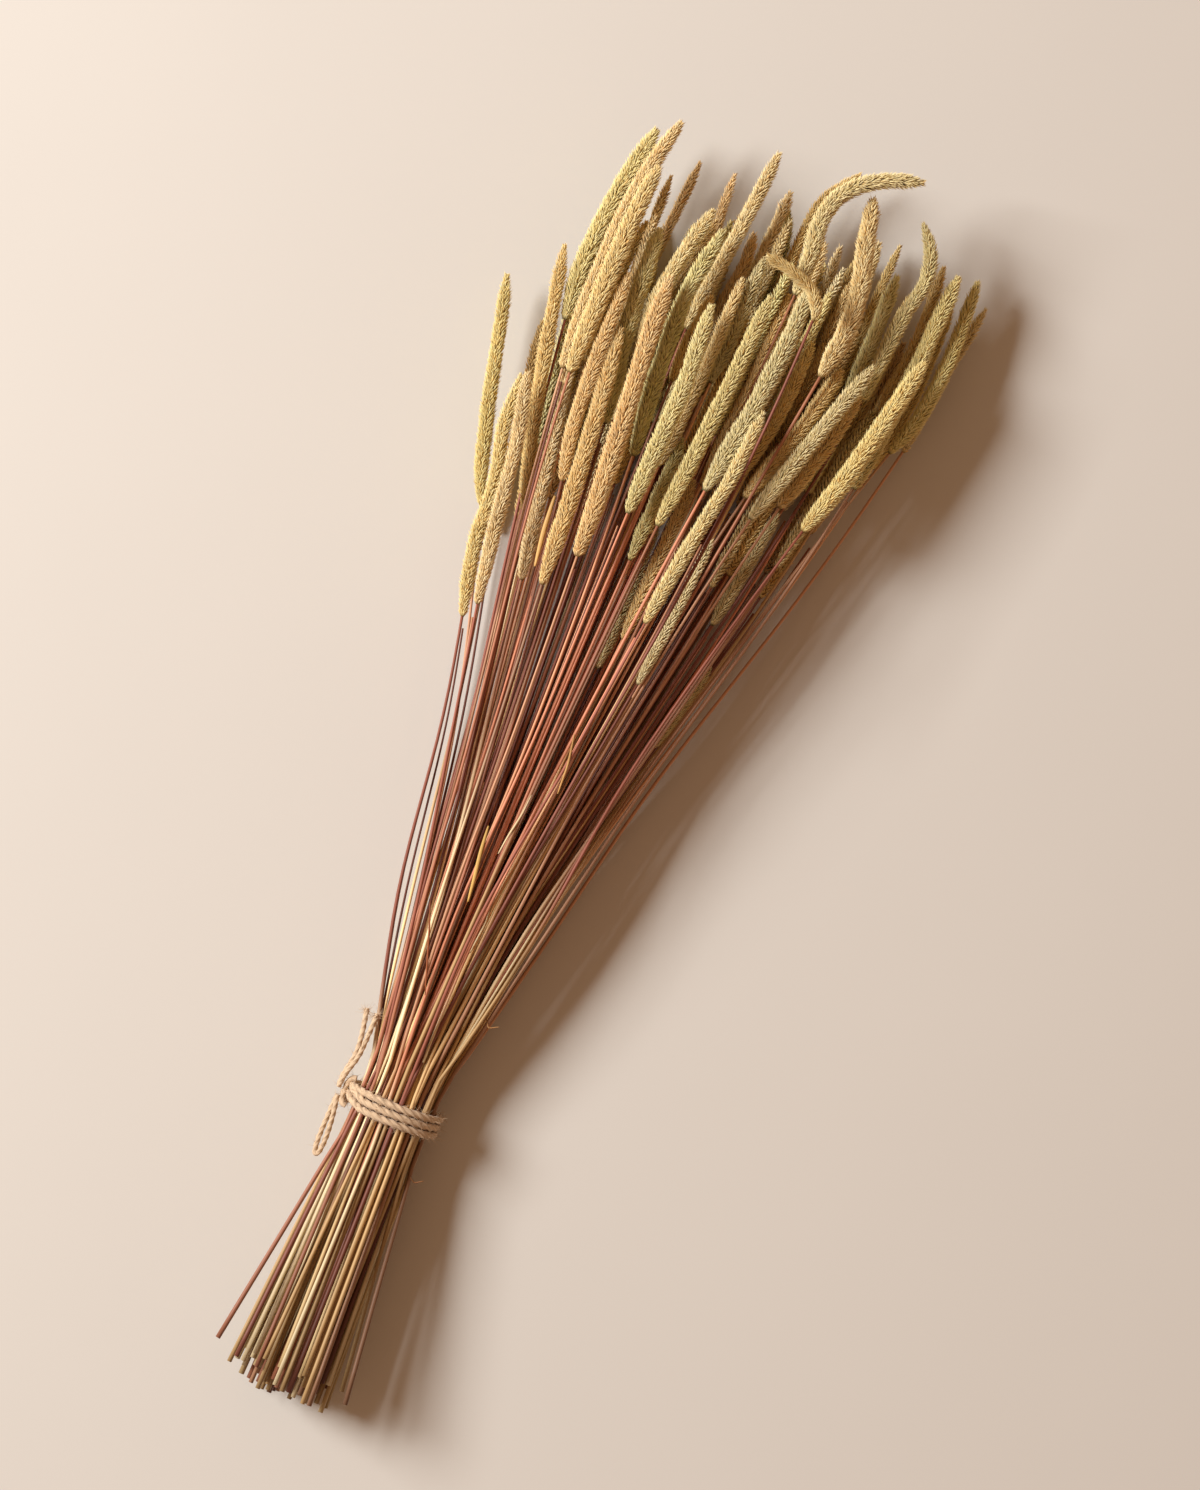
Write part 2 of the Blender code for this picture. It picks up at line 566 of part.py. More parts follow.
def add_stalks(t, shift, home):
    """A node for every group of stalks."""
    scratch = bpy.context.scene.collection
    for k, group in enumerate(partners(t), 1):
        tint = t["spikes"][min(group)][2]
        look = material("dried_grass_" + tint, COLOURS[tint], 0.8)
        name = f"stalk_{k:02d}"
        middle = group[len(group) // 2]
        made = add_object(name, stalk_body(t, shift, middle), home, look)
        rest = [i for i in group if i != middle]
        others = [add_object(f"{name}_{i}", stalk_body(t, shift, i), scratch, look) for i in rest]
        for other in others:
            scratch.objects.unlink(other)
        fuse(made, others, name + "_pressed")


def add_cord(name, route, home, look):
    """Free length of twine as a plain tube along a hand-laid route."""
    curve = bpy.data.curves.new(name, "CURVE")
    curve.dimensions = "3D"
    curve.bevel_depth = TWINE_END / 2 * MM
    curve.bevel_resolution = 2
    curve.use_fill_caps = True
    line = curve.splines.new("POLY")
    points = rounded(route)
    line.points.add(len(points) - 1)
    for point, (x, y, z) in zip(line.points, points):
        point.co = ((x + SHIFT_X) * MM, (y + SHIFT_Y) * MM, z * MM, 1)
    made = bpy.data.objects.new(name, curve)
    home.objects.link(made)
    curve.materials.append(look)


def rounded(route):
    """Route with its corners rounded, at even steps."""
    points = np.array(route, float)
    step = np.sqrt((np.diff(points, axis=0) ** 2).sum(axis=1))
    along = np.concatenate(([0], np.cumsum(step)))
    even = np.linspace(0, along[-1], 18)
    line = np.stack([np.interp(even, along, points[:, c]) for c in range(3)], axis=1)
    for _ in range(4):
        line[1:-1] = 0.25 * line[:-2] + 0.5 * line[1:-1] + 0.25 * line[2:]
    return line


def clear_scene():
    """Start from an empty scene."""
    for item in list(bpy.data.objects):
        bpy.data.objects.remove(item)


# build
def build():
    """Make every node of the bundle."""
    clear_scene()
    home = bpy.data.collections.new("dried_timothy_bundle")
    bpy.context.scene.collection.children.link(home)
    t = shape_table(np.random.RandomState(SEED))
    shift = lay_across(t, settle(t))
    add_stalks(t, shift, home)
    jute = material("jute_twine", COLOURS["jute"], 0.9)
    add_object("twine_wrap", twine_wrap_body(), home, jute)
    add_cord("twine_end_upper", UPPER_END, home, jute)
    add_cord("twine_end_lower", LOWER_END, home, jute)
    add_cord("twine_loop", LOOP, home, jute)


build()
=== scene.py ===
"""Dressing for a bundle of dried timothy grass: florets, stems, jute twine, floor and light.

Laid out as a Blender add-on and run as a script.  Lengths in the layout are millimetres, with X
across the bundle, Y from the cut ends to the heads and Z up; meshes are in metres.
"""

import math

import bpy
import numpy as np
from bpy.props import FloatProperty, FloatVectorProperty, IntProperty, PointerProperty
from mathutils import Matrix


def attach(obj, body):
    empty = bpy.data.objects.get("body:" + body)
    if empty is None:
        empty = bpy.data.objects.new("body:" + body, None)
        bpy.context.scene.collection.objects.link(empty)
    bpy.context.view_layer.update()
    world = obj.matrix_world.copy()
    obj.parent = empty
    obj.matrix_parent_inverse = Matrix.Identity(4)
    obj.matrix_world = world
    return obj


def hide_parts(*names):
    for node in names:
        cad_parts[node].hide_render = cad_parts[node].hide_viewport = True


bl_info = {
    "name": "Dried Timothy Bundle",
    "version": (1, 0, 0),
    "blender": (4, 5, 0),
    "location": "View3D > Sidebar > Timothy",
    "description": "Dresses a bundle of dried timothy grass tied with jute twine",
    "category": "Object",
}

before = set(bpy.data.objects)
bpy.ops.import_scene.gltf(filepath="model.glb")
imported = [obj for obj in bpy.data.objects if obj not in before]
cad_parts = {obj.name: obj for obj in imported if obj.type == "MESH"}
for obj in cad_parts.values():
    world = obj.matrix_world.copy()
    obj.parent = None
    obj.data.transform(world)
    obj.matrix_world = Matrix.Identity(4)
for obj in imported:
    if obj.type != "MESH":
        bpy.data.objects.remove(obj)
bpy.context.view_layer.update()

SEED = 21
MM = 0.001

# Where the layout's own zero (middle of the tie, on the surface) goes in the finished part.
SHIFT_X = -5.5
SHIFT_Y = -133.0

# Tie and stems
TIE_HALF_WIDTH = 15.0
TIE_HALF_HEIGHT = 11.0
TWINE = 2.8
TURN = 3.0
PRESSED = 0.36
PLAY = 0.6
TIE_Z = TIE_HALF_HEIGHT + PLAY + TWINE - PRESSED
CUT_Y = -106.0
STEM_CUT = 0.96
STEM_TIE = 0.74
STEM_FAN = 0.64
STEM_TOP = 0.50
CORNERS = 1.12
GAP = 0.38
PARTNER = 0.38
PRESS = 1.7

# Pile of heads: its height over the surface at the middle and at the edges
PILE_X = 5.0
PILE_HALF = 92.0
PILE_EDGE = 15.0
PILE_RISE = 38.0

# Heights at which every stalk may bend, and the closer heights where it keeps clear of others
KNOTS = np.array([-113.0, -14, 14, 75, 140, 205, 230, 255, 280, 305, 330, 355, 381])
STATIONS = np.arange(-112.0, 381.0, 6.0)
ROUNDS = 360

# Spikes seen from above: width, layer (0 on the surface, 1 on top), colour, then X and Y of the
# middle line from the base to the tip.
SPIKES = (
    (5.5, 0.35, "straw", ((-54, 214), (-58, 222), (-66, 250), (-72, 275), (-77, 294))),
    (5.5, 0.60, "tan", ((-38, 217), (-47, 245), (-53, 272), (-57, 290), (-61.5, 311))),
    (7.5, 0.55, "green", ((-51.5, 287), (-53, 310), (-52, 330), (-47, 362))),
    (6.5, 0.72, "straw", ((-45, 270), (-46, 300), (-46, 330), (-43.5, 350), (-39.5, 367.5))),
    (7.5, 0.98, "straw", ((-42, 269), (-42, 300), (-42, 330), (-40.5, 348))),
    (4.0, 0.22, "tan", ((-34, 275), (-35, 310), (-36, 350))),
    (4.0, 0.30, "tan", ((-31, 280), (-30.5, 320), (-28, 358))),
    (4.5, 0.50, "tan", ((-38, 275), (-38.5, 290), (-39, 310), (-37.5, 330))),
    (7.0, 0.78, "green", ((-23.5, 257), (-24.5, 265), (-28, 280), (-30, 300), (-32, 328.5))),
    (5.5, 0.92, "tan", ((-29.5, 232), (-33, 250), (-34.5, 280), (-35.5, 309))),
    (6.0, 0.70, "straw", ((-24, 285), (-24, 305), (-22, 320), (-17, 342))),
    (4.0, 0.45, "tan", ((-19, 285), (-18, 315), (-17, 325), (-14.5, 340))),
    (7.5, 0.99, "tan", ((-14.5, 209), (-15, 225), (-17, 255), (-20, 285), (-21.5, 313))),
    (6.5, 0.80, "green", ((-9.5, 250), (-12.5, 275), (-14.5, 310), (-10.5, 336))),
    (5.5, 0.55, "straw", ((-9, 300), (-8, 312), (-6, 325), (-4.5, 340), (-2.5, 370))),
    (3.5, 0.30, "tan", ((-11, 300), (-12.5, 335), (-14, 345), (-14.5, 358.5))),
    (5.0, 0.62, "tan", ((-8, 280), (-8, 295), (-7, 313))),
    (6.5, 0.95, "green", ((-3.5, 230), (-3, 250), (-2, 280), (-4, 309))),
    (5.0, 0.72, "straw", ((0, 250), (1, 265), (2.5, 295), (2.5, 323))),
    (5.0, 0.45, "tan", ((-1, 290), (0, 320), (1.5, 330), (0, 341))),
    (5.0, 0.38, "straw", ((4, 295), (6, 335), (6.5, 360))),
    (4.0, 0.25, "green", ((14, 300), (12, 343), (8, 355))),
    (5.0, 0.60, "green", ((6, 285), (7, 310), (6.5, 320), (7, 333))),
    (6.0, 0.88, "green", ((8, 230), (11, 262), (13, 290), (14, 320))),
    (5.0, 0.55, "tan", ((17, 250), (18, 262), (20, 290), (20, 325))),
    (7.0, 0.90, "green", ((19, 248), (24, 280), (26.5, 310), (26, 328.5))),
    (5.2, 1.00, "straw", ((17.5, 196), (21, 225), (26, 255), (27.5, 281))),
    (5.0, 0.50, "straw", ((24, 285), (25, 330), (25, 347))),
    (4.0, 0.35, "tan", ((16, 300), (16, 340), (17, 362), (27, 376))),
    (7.5, 0.86, "straw", ((41, 301.5), (44, 320), (43, 335), (40, 345), (37, 358), (35, 367))),
    (5.5, 0.25, "straw", ((45, 290), (44, 320), (43, 356))),
    (4.0, 0.18, "tan", ((37, 280), (37.5, 320), (37.5, 348))),
    (4.0, 0.40, "tan", ((37, 275), (39, 310), (39, 338))),
    (5.0, 0.58, "straw", ((31, 265), (32, 305), (33.5, 331))),
    (3.5, 0.30, "tan", ((48.5, 285), (49.5, 325), (50.5, 358))),
    (6.0, 0.62, "green", ((53, 262), (54, 300), (54, 320), (53.5, 346))),
    (6.0, 0.92, "green", ((37.5, 245), (45, 270), (54, 300), (57.5, 311.5))),
    (6.0, 0.80, "tan", ((32.5, 251.5), (42, 280), (47.5, 306))),
    (5.0, 0.72, "straw", ((27, 255), (31, 270), (33.5, 285), (34.5, 311))),
    (4.0, 0.28, "straw", ((30, 290), (31, 330), (30.5, 349))),
    (5.5, 0.75, "green", ((58, 300), (60, 330), (62, 340), (64, 347), (63, 355), (60, 362), (55.5, 367))),
    (4.5, 0.55, "tan", ((66, 290), (66, 305), (69, 320), (69, 335), (68, 356))),
    (7.0, 0.75, "green", ((68, 270), (70, 295), (73, 320), (73, 335), (74, 354))),
    (5.0, 0.35, "tan", ((72, 280), (76, 310), (76, 345))),
    (7.0, 1.00, "straw", ((56.5, 248.5), (63, 268), (69, 295), (74, 320))),
    (5.5, 0.70, "green", ((75, 287), (80, 300), (82, 315), (82.5, 330), (81.5, 356))),
    (4.0, 0.30, "straw", ((80, 290), (84, 325), (88, 349))),
    (6.0, 0.30, "tan", ((58, 265), (60, 300), (61, 342))),
    (5.5, 0.20, "tan", ((60, 250), (64, 290), (65, 326))),
    (6.0, 0.72, "tan", ((45.5, 253), (53, 280), (57, 300))),
    (4.5, 0.55, "green", ((39.5, 205), (43, 228), (46, 250))),
    (5.5, 0.55, "straw", ((-44, 174), (-48, 190), (-51, 205), (-51, 218), (-53, 230), (-57, 240), (-58, 262))),
    (5.5, 0.85, "straw", ((-41, 180), (-46, 210), (-50, 240), (-56, 263))),
    (6.0, 0.72, "straw", ((-30, 194), (-33, 210), (-38, 240), (-44, 275))),
    (6.5, 0.88, "tan", ((-22, 195), (-24, 225), (-27, 255), (-31, 290))),
    (4.5, 0.75, "green", ((3.5, 215), (4, 239), (4.5, 262))),
    (5.0, 0.60, "tan", ((12, 188), (13, 220), (14, 250))),
    (5.0, 0.50, "green", ((7, 175), (7.5, 205), (7, 232))),
    (3.8, 0.70, "green", ((23, 175), (26, 205), (28, 232))),
    (3.8, 0.40, "green", ((35, 153), (39, 165), (45, 190))),
    (6.5, 0.90, "green", ((22, 325), (22, 342), (20, 350), (21, 360), (25, 367), (32, 373), (40, 377), (48.5, 379.5))),
    (4.6, 1.05, "straw", ((31.5, 318), (31, 322), (28, 327), (22, 330), (15, 332), (8, 333))),
)
CROSSING = len(SPIKES) - 1
HIDDEN = 55
NODES = 56


# Layout of the stalks
def pile_height(x):
    """Height of the pile of heads over the surface."""
    share = np.clip(np.abs(np.asarray(x, float) - PILE_X) / PILE_HALF, 0, 1)
    return PILE_EDGE + PILE_RISE * (1 - share ** 2)


def hidden_spikes(rng):
    """Spikes of the lower layers, spread over the fan under the ones seen from above."""
    spikes = []
    for k in range(HIDDEN):
        across = -0.92 + 1.84 * ((k + 0.5) / HIDDEN) + rng.uniform(-0.03, 0.03)
        tip_y = 342 - 40 * across ** 2 + rng.uniform(-38, 12)
        length = rng.uniform(55, 85)
        base_y = tip_y - length
        tip = (PILE_X + across * 66 + rng.uniform(-3, 3), tip_y)
        base = (tip[0] * (base_y + 70) / (tip_y + 70), base_y)
        layer = (0.02, 0.36, 0.14, 0.50, 0.24)[k % 5] + rng.uniform(0, 0.06)
        tint = ("tan", "straw", "tan", "green")[(k * 3) % 4]
        spikes.append((rng.uniform(4.3, 5.4), layer, tint, (base, tip)))
    return spikes


def hermite(t, a, b, slope_a, slope_b, span):
    """Cubic from a to b with the given slopes."""
    h = t * t * (3 - 2 * t)
    rise = a + (b - a) * h
    rise = rise + slope_a * span * (t ** 3 - 2 * t * t + t)
    return rise + slope_b * span * (t ** 3 - t * t)


def tie_places(xs, zs):
    """Place of each stalk in the tie: columns filled from the left, each from the bottom."""
    count = len(xs)
    columns = 15
    centres = (np.arange(columns) + 0.5) / columns * 2 - 1
    share = np.sqrt(1 - centres ** 2)
    ends = np.round(np.cumsum(share) / share.sum() * count).astype(int)
    order = np.argsort(xs, kind="stable")
    places = np.zeros((count, 2))
    chain = []
    start = 0
    for c, end in enumerate(ends):
        members = order[start:end]
        members = members[np.argsort(zs[members], kind="stable")]
        level = (np.arange(len(members)) + 0.5) / max(1, len(members)) * 2 - 1
        places[members, 0] = centres[c] * (TIE_HALF_WIDTH - 1.5)
        places[members, 1] = TIE_Z + level * share[c] * (TIE_HALF_HEIGHT - 1.0)
        chain.extend(members if c % 2 == 0 else members[::-1])
        start = end
    return places, np.array(chain)


def shape_table(rng):
    """Every stalk's data in arrays: middle line before it is moved clear of its neighbours."""
    spikes = list(SPIKES) + hidden_spikes(rng)
    count = len(spikes)
    base = np.array([s[3][0] for s in spikes], float)
    tip = np.array([s[3][-1] for s in spikes], float)
    width = np.array([s[0] for s in spikes], float)
    layer = np.array([s[1] for s in spikes], float)
    seen = np.arange(count) < len(SPIKES)
    middle = 0.5 * (base[:, 0] + tip[:, 0])
    rest = width / 2 + layer * np.maximum(pile_height(middle) - width, 4)
    places, chain = tie_places(middle + 0.02 * base[:, 1], rest)
    cut = np.empty((count, 3))
    cut[:, 0] = places[:, 0] * 1.25 + rng.uniform(-1.8, 1.8, count)
    cut[:, 1] = CUT_Y + rng.uniform(-6.5, 6.0, count)
    cut[:, 2] = TIE_Z + (places[:, 1] - TIE_Z) * 1.15 + rng.uniform(-1.0, 1.0, count)
    left = int(np.argmin(places[:, 0] - 0.01 * places[:, 1]))
    right = int(np.argmax(places[:, 0] + 0.01 * places[:, 1]))
    cut[left] = (-25.0, -100.0, TIE_Z + 4)
    cut[right] = (22.5, -104.5, TIE_Z + 2)
    thick = rng.uniform(0.86, 1.1, count)
    rise = rng.uniform(-3.0, 3.0, count) - 2.0 * (layer > 0.6)
    return dict(spikes=spikes, base=base, tip=tip, width=width, layer=layer, seen=seen,
                rest=rest, places=places, chain=chain, cut=cut, thick=thick, rise=rise)


def middle_line(t, i, ys):
    """X and Z of stalk i at the heights ys, before the stalks are moved apart."""
    points = np.array(t["spikes"][i][3], float)
    start = points[0]
    slope = (points[1, 0] - start[0]) / (points[1, 1] - start[1])
    tie_x, tie_z = t["places"][i]
    ys = np.asarray(ys, float)
    stem_y = np.append(KNOTS[(KNOTS >= 14) & (KNOTS < start[1] - 8)], start[1])
    part = (stem_y - 14) / (start[1] - 14)
    chord = (start[0] - tie_x) / (start[1] - 14)
    stem_x = hermite(part, tie_x, start[0], 0.4 * chord, 0.5 * (slope + chord), start[1] - 14)
    climb = (t["rest"][i] - tie_z) / (start[1] - 14)
    stem_z = hermite(part, tie_z, t["rest"][i], climb, 0.3 * climb, start[1] - 14)
    cut = t["cut"][i]
    line_y = np.concatenate(([-113.0, -14.0], stem_y))
    line_x = np.concatenate(([cut[0], tie_x], stem_x))
    line_z = np.concatenate(([cut[2], tie_z], stem_z))
    head = ys > start[1]
    x = np.interp(ys, line_y, line_x)
    z = np.interp(ys, line_y, line_z)
    curve = spike_curve(points)
    along = np.interp(ys, curve[:, 1], np.linspace(0, 1, len(curve)))
    head_x = np.interp(ys, curve[:, 1], curve[:, 0])
    return np.where(head, head_x, x), np.where(head, spike_z(t, i, along), z)


def spike_z(t, i, along):
    """Height of a spike's middle line over the surface, from 0 at its base to 1 at its tip."""
    base, tip = t["base"][i], t["tip"][i]
    climb = 0.3 * (t["rest"][i] - t["places"][i, 1]) / (base[1] - 14)
    rise = climb * (tip[1] - base[1]) * along * (1 - along)
    return t["rest"][i] + t["rise"][i] * along ** 2 + rise


def spike_curve(points):
    """The spike's middle line with its corners rounded, at 60 even steps: X and Y."""
    step = np.sqrt((np.diff(points, axis=0) ** 2).sum(axis=1))
    along = np.concatenate(([0], np.cumsum(step)))
    even = np.linspace(0, along[-1], 60)
    curve = np.stack([np.interp(even, along, points[:, c]) for c in (0, 1)], axis=1)
    for _ in range(14):
        curve[1:-1] = 0.25 * curve[:-2] + 0.5 * curve[1:-1] + 0.25 * curve[2:]
    return curve


def stem_radius(t, i, ys):
    """Half thickness of the stem: thickest at the cut end."""
    ys = np.asarray(ys, float)
    fall = np.interp(ys, (-110, 0, 60, t["base"][i, 1]), (STEM_CUT, STEM_TIE, STEM_FAN, STEM_TOP))
    return fall * t["thick"][i]


def spike_radius(width, along):
    """Half width of a spike, from 0 at its base to 1 at its tip: widest low down, blunt tip."""
    start = np.clip(along / 0.16, 0, 1) ** 0.7
    end = np.sqrt(1 - 0.86 * np.clip((along - 0.80) / 0.20, 0, 1) ** 2)
    return width / 2 * (0.38 + 0.62 * start) * end * (1 - 0.20 * along ** 1.6)


def clearance_radius(t, i, ys):
    """Half thickness that the stalk keeps for itself at each height."""
    base, tip = t["base"][i, 1], t["tip"][i, 1]
    along = (ys - base) / (tip - base)
    stem = stem_radius(t, i, ys) * CORNERS
    spike = np.maximum(spike_radius(t["width"][i], np.clip(along, 0, 1)), stem)
    return np.where(ys < base - 3, stem, np.where(ys > base, spike, np.maximum(stem, 1.0)))


def partners(t):
    """Stalks that share a node, pressed together under the twine, as lists of two or three."""
    chain = t["chain"]
    ends = np.round(np.arange(NODES + 1) * len(chain) / NODES).astype(int)
    return [[int(c) for c in chain[a:b]] for a, b in zip(ends[:-1], ends[1:])]


def near_pairs(now, live, margin):
    """Pairs of stalks, both ways round and sorted, that come within the margin of each other."""
    count = len(now)
    first = []
    second = []
    for i in range(count):
        gap = np.abs(now - now[i]).max(axis=2)
        gap[~(live & live[i])] = 1e3
        near = np.flatnonzero(gap.min(axis=1) < margin)
        near = near[near != i]
        first.extend([i] * len(near))
        second.extend(near)
    return np.array(first), np.array(second)


def settle(t):
    """Move the stalks apart until none touches another; returns the shift at each knot."""
    count = len(t["spikes"])
    lines = [middle_line(t, i, STATIONS) for i in range(count)]
    place = np.stack([np.array(line).T for line in lines])
    radius = np.stack([clearance_radius(t, i, STATIONS) for i in range(count)])
    slope = np.gradient(place, STATIONS, axis=1)
    radius *= np.sqrt(1 + np.clip((slope ** 2).sum(axis=2), 0, 1.2))
    live = (STATIONS[None] > t["cut"][:, 1:2] - 7) & (STATIONS[None] < t["tip"][:, 1:2] + 3)
    low = np.clip(np.searchsorted(KNOTS, STATIONS) - 1, 0, len(KNOTS) - 2)
    share = (STATIONS - KNOTS[low]) / (KNOTS[low + 1] - KNOTS[low])
    weight = np.zeros((len(STATIONS), len(KNOTS)))
    weight[np.arange(len(STATIONS)), low] = 1 - share
    weight[np.arange(len(STATIONS)), low + 1] += share
    tie = np.abs(STATIONS) < 15
    joined = np.zeros((count, count), bool)
    for group in partners(t):
        joined[group[:-1], group[1:]] = True
        joined[group[1:], group[:-1]] = True
    ease = np.ones((count, len(STATIONS), 2))
    spike = t["seen"][:, None] & (STATIONS[None] > t["base"][:, 1:2] - 4)
    ease[spike, 0] = 0.12
    firm = t["seen"][:, None] & (KNOTS[None] > t["base"][:, 1:2] - 20)
    pull = np.where(firm, 0.05, 0.012)
    stiff = np.where((KNOTS > 20) & (KNOTS < 220), 0.28, 0.12)
    shift = np.zeros((count, len(KNOTS), 2))
    now = place
    for step in range(ROUNDS):
        if step % 40 == 0:
            a, b = near_pairs(now, live, 9.0)
            starts = np.searchsorted(a, np.arange(count))
            width = radius[a] + radius[b]
            need = np.where(live[a] & live[b], width + GAP, 0)
            tight = joined[a, b][:, None] & tie[None]
            ratio = ease[a] / (ease[a] + ease[b])
        if step < ROUNDS * 0.64:
            shift[:, :, 0] *= 1 - pull
            shift[:, :, 1] *= 1 - 0.012
            bend = shift[:, :-2] + shift[:, 2:] - 2 * shift[:, 1:-1]
            shift[:, 1:-1] += bend * stiff[1:-1, None]
        now = place + np.einsum("sk,ikc->isc", weight, shift)
        gap = now[a] - now[b]
        far = np.sqrt(gap[..., 0] ** 2 + gap[..., 1] ** 2) + 1e-9
        lack = np.where(tight, PARTNER * width - far, np.maximum(need - far, 0))
        push = (lack / far * np.where(tight, PRESS, 1.0))[..., None] * gap * ratio
        move = np.add.reduceat(push, starts, axis=0)
        hits = np.add.reduceat((np.abs(lack) > 1e-4).astype(float), starts, axis=0)
        move /= np.maximum(1, 0.55 * hits)[..., None]
        move[:, :, 1] += np.maximum(radius + 0.20 - now[:, :, 1], 0) * live
        off_x = now[:, :, 0] / (TIE_HALF_WIDTH - radius)
        off_z = (now[:, :, 1] - TIE_Z) / (TIE_HALF_HEIGHT - radius)
        out = np.sqrt(off_x ** 2 + off_z ** 2)
        back = np.where((out > 1) & tie[None], 1 / np.maximum(out, 1e-6) - 1, 0)
        move[:, :, 0] += now[:, :, 0] * back
        move[:, :, 1] += (now[:, :, 1] - TIE_Z) * back
        used = (np.abs(move).sum(axis=2) > 1e-5).astype(float)
        total = np.einsum("sk,isc->ikc", weight, move)
        spread = np.einsum("sk,is->ik", weight, used)
        shift += 1.15 * total / np.maximum(spread, 0.35)[..., None]
    return np.round(shift, 4)


def shifted(shift, i, xyz):
    """Points of stalk i moved by what its knots are moved."""
    moved = np.array(xyz, float)
    moved[:, 0] += np.interp(xyz[:, 1], KNOTS, shift[i, :, 0])
    moved[:, 2] += np.interp(xyz[:, 1], KNOTS, shift[i, :, 1])
    return moved


def spike_points(t, shift, i, along):
    """Middle line of a spike at the given shares of its length."""
    curve = spike_curve(np.array(t["spikes"][i][3], float))
    steps = np.linspace(0, 1, len(curve))
    x = np.interp(along, steps, curve[:, 0])
    y = np.interp(along, steps, curve[:, 1])
    return shifted(shift, i, np.stack((x, y, spike_z(t, i, along)), axis=1))


def stem_points(t, shift, i, ys):
    """Middle line of a stem at the given heights."""
    x, z = middle_line(t, i, ys)
    return shifted(shift, i, np.stack((x, ys, z), axis=1))


def lay_across(t, shift):
    """Lift the spike that lies across the others until it clears them all."""
    along = np.linspace(0, 1, 24)
    mine = spike_points(t, shift, CROSSING, along)
    mine_r = spike_radius(t["width"][CROSSING], along)
    lift = 0.0
    for i in range(len(t["spikes"])):
        if i == CROSSING:
            continue
        other = spike_points(t, shift, i, np.linspace(0, 1, 40))
        reach = mine_r[:, None] + spike_radius(t["width"][i], np.linspace(0, 1, 40)) + GAP
        flat = ((mine[:, None, :2] - other[None, :, :2]) ** 2).sum(axis=2)
        over = np.sqrt(np.clip(reach ** 2 - flat, 0, None)) + other[None, :, 2] - mine[:, None, 2]
        lift = max(lift, float(np.where(flat < reach ** 2, over, 0).max()))
    shift[CROSSING, :, 1] += lift * np.interp(KNOTS, (140, 305), (0, 1))
    return shift


# Free lengths of twine, as in the part's source
TWINE_END = 2.0
UPPER_END = ((-21.6, -0.3, 15.2), (-21.2, 5, 16.8), (-18.8, 12, 18), (-18.6, 20, 19), (-18.4, 29.5, 18.5))
LOWER_END = ((-21.7, -0.3, 12.8), (-21.9, 5, 13.6), (-20.0, 12, 14.8), (-20.8, 20, 14.4), (-22.8, 29.5, 12))
LOOP = ((-20.8, -3.2, 15.4), (-19.6, -9, 15.2), (-18.6, -18, 13), (-18.6, -26, 11), (-20.0, -30.5, 10),
        (-21.4, -26, 10), (-21.4, -18, 11.6), (-21.2, -9, 12.6), (-20.9, -3.2, 12.7))

# The photograph's view: millimetres a pixel, the tie's pixel, how far the bundle leans
PICTURE = (1200, 1490)
PIXEL = 0.36
TIE_PIXEL = (393, 1110)
LEAN = math.radians(22.4)
CAMERA_HEIGHT = 2000.0

# Dry leaf scraps and wisps on the stems: X and Y along each, width, colour
SCRAPS = (
    (((-16, 75), (-13, 67), (-9, 55), (-5, 43)), 0.7, "#A5603C"),
    (((-7, 108), (-6, 98), (-4.4, 88), (-3.5, 80)), 1.5, "#D9AE62"),
    (((3, 124), (2.5, 116), (0.8, 107), (0, 100)), 0.8, "#E6CDA0"),
    (((4.5, 82), (5.2, 75), (4, 63)), 0.7, "#E6CDA0"),
    (((18, 44), (20.5, 40), (24, 42)), 0.5, "#B88A5A"),
    (((14, -20), (17, -22), (20, -20)), 0.5, "#9A6A44"),
    (((-30, 226), (-29, 214), (-27, 200)), 1.8, "#D8AC6A"),
    (((9, 150), (11, 139), (11.5, 128)), 0.9, "#C9995C"),
)

# Colours as seen, sRGB
# Each head: pale and middle colour, then the dark colour from which the painted shade on its core and floret roots is
# made
FLORET_TINTS = {
    "straw": ("#FFF0B8", "#FFE29A", "#CEA85E"),
    "tan": ("#FFE7A8", "#F8D286", "#C09650"),
    "green": ("#FAECB4", "#E4D494", "#AA9C5E"),
}
RUSSET = ("#AB7055", "#7E4A3A", "#C49270")
STRAW = ("#E0C08A", "#CBA672", "#ECD6AA")


# Colours and small helpers
def linear(code):
    """Linear colour of an sRGB hex code."""
    value = np.array([int(code[k:k + 2], 16) for k in (1, 3, 5)]) / 255
    return np.where(value <= 0.04045, value / 12.92, ((value + 0.055) / 1.055) ** 2.4)


def unit(v):
    """Vectors of length one."""
    return v / np.maximum(np.linalg.norm(v, axis=-1, keepdims=True), 1e-9)


def smooth(line, passes):
    """Line of points with its corners rounded, its ends kept."""
    line = np.array(line, float)
    for _ in range(passes):
        line[1:-1] = 0.25 * line[:-2] + 0.5 * line[1:-1] + 0.25 * line[2:]
    return line


def resample(line, count):
    """Line cut into even steps."""
    line = np.array(line, float)
    along = np.concatenate(([0], np.cumsum(np.linalg.norm(np.diff(line, axis=0), axis=1))))
    even = np.linspace(0, along[-1], count)
    return np.stack([np.interp(even, along, line[:, c]) for c in range(3)], axis=1), along[-1]


def frames(line):
    """Direction, side and up of a line, square to each other."""
    way = unit(np.gradient(line, axis=0))
    side = unit(np.cross(way, (0.0, 0.0, 1.0)))
    return way, side, np.cross(side, way)


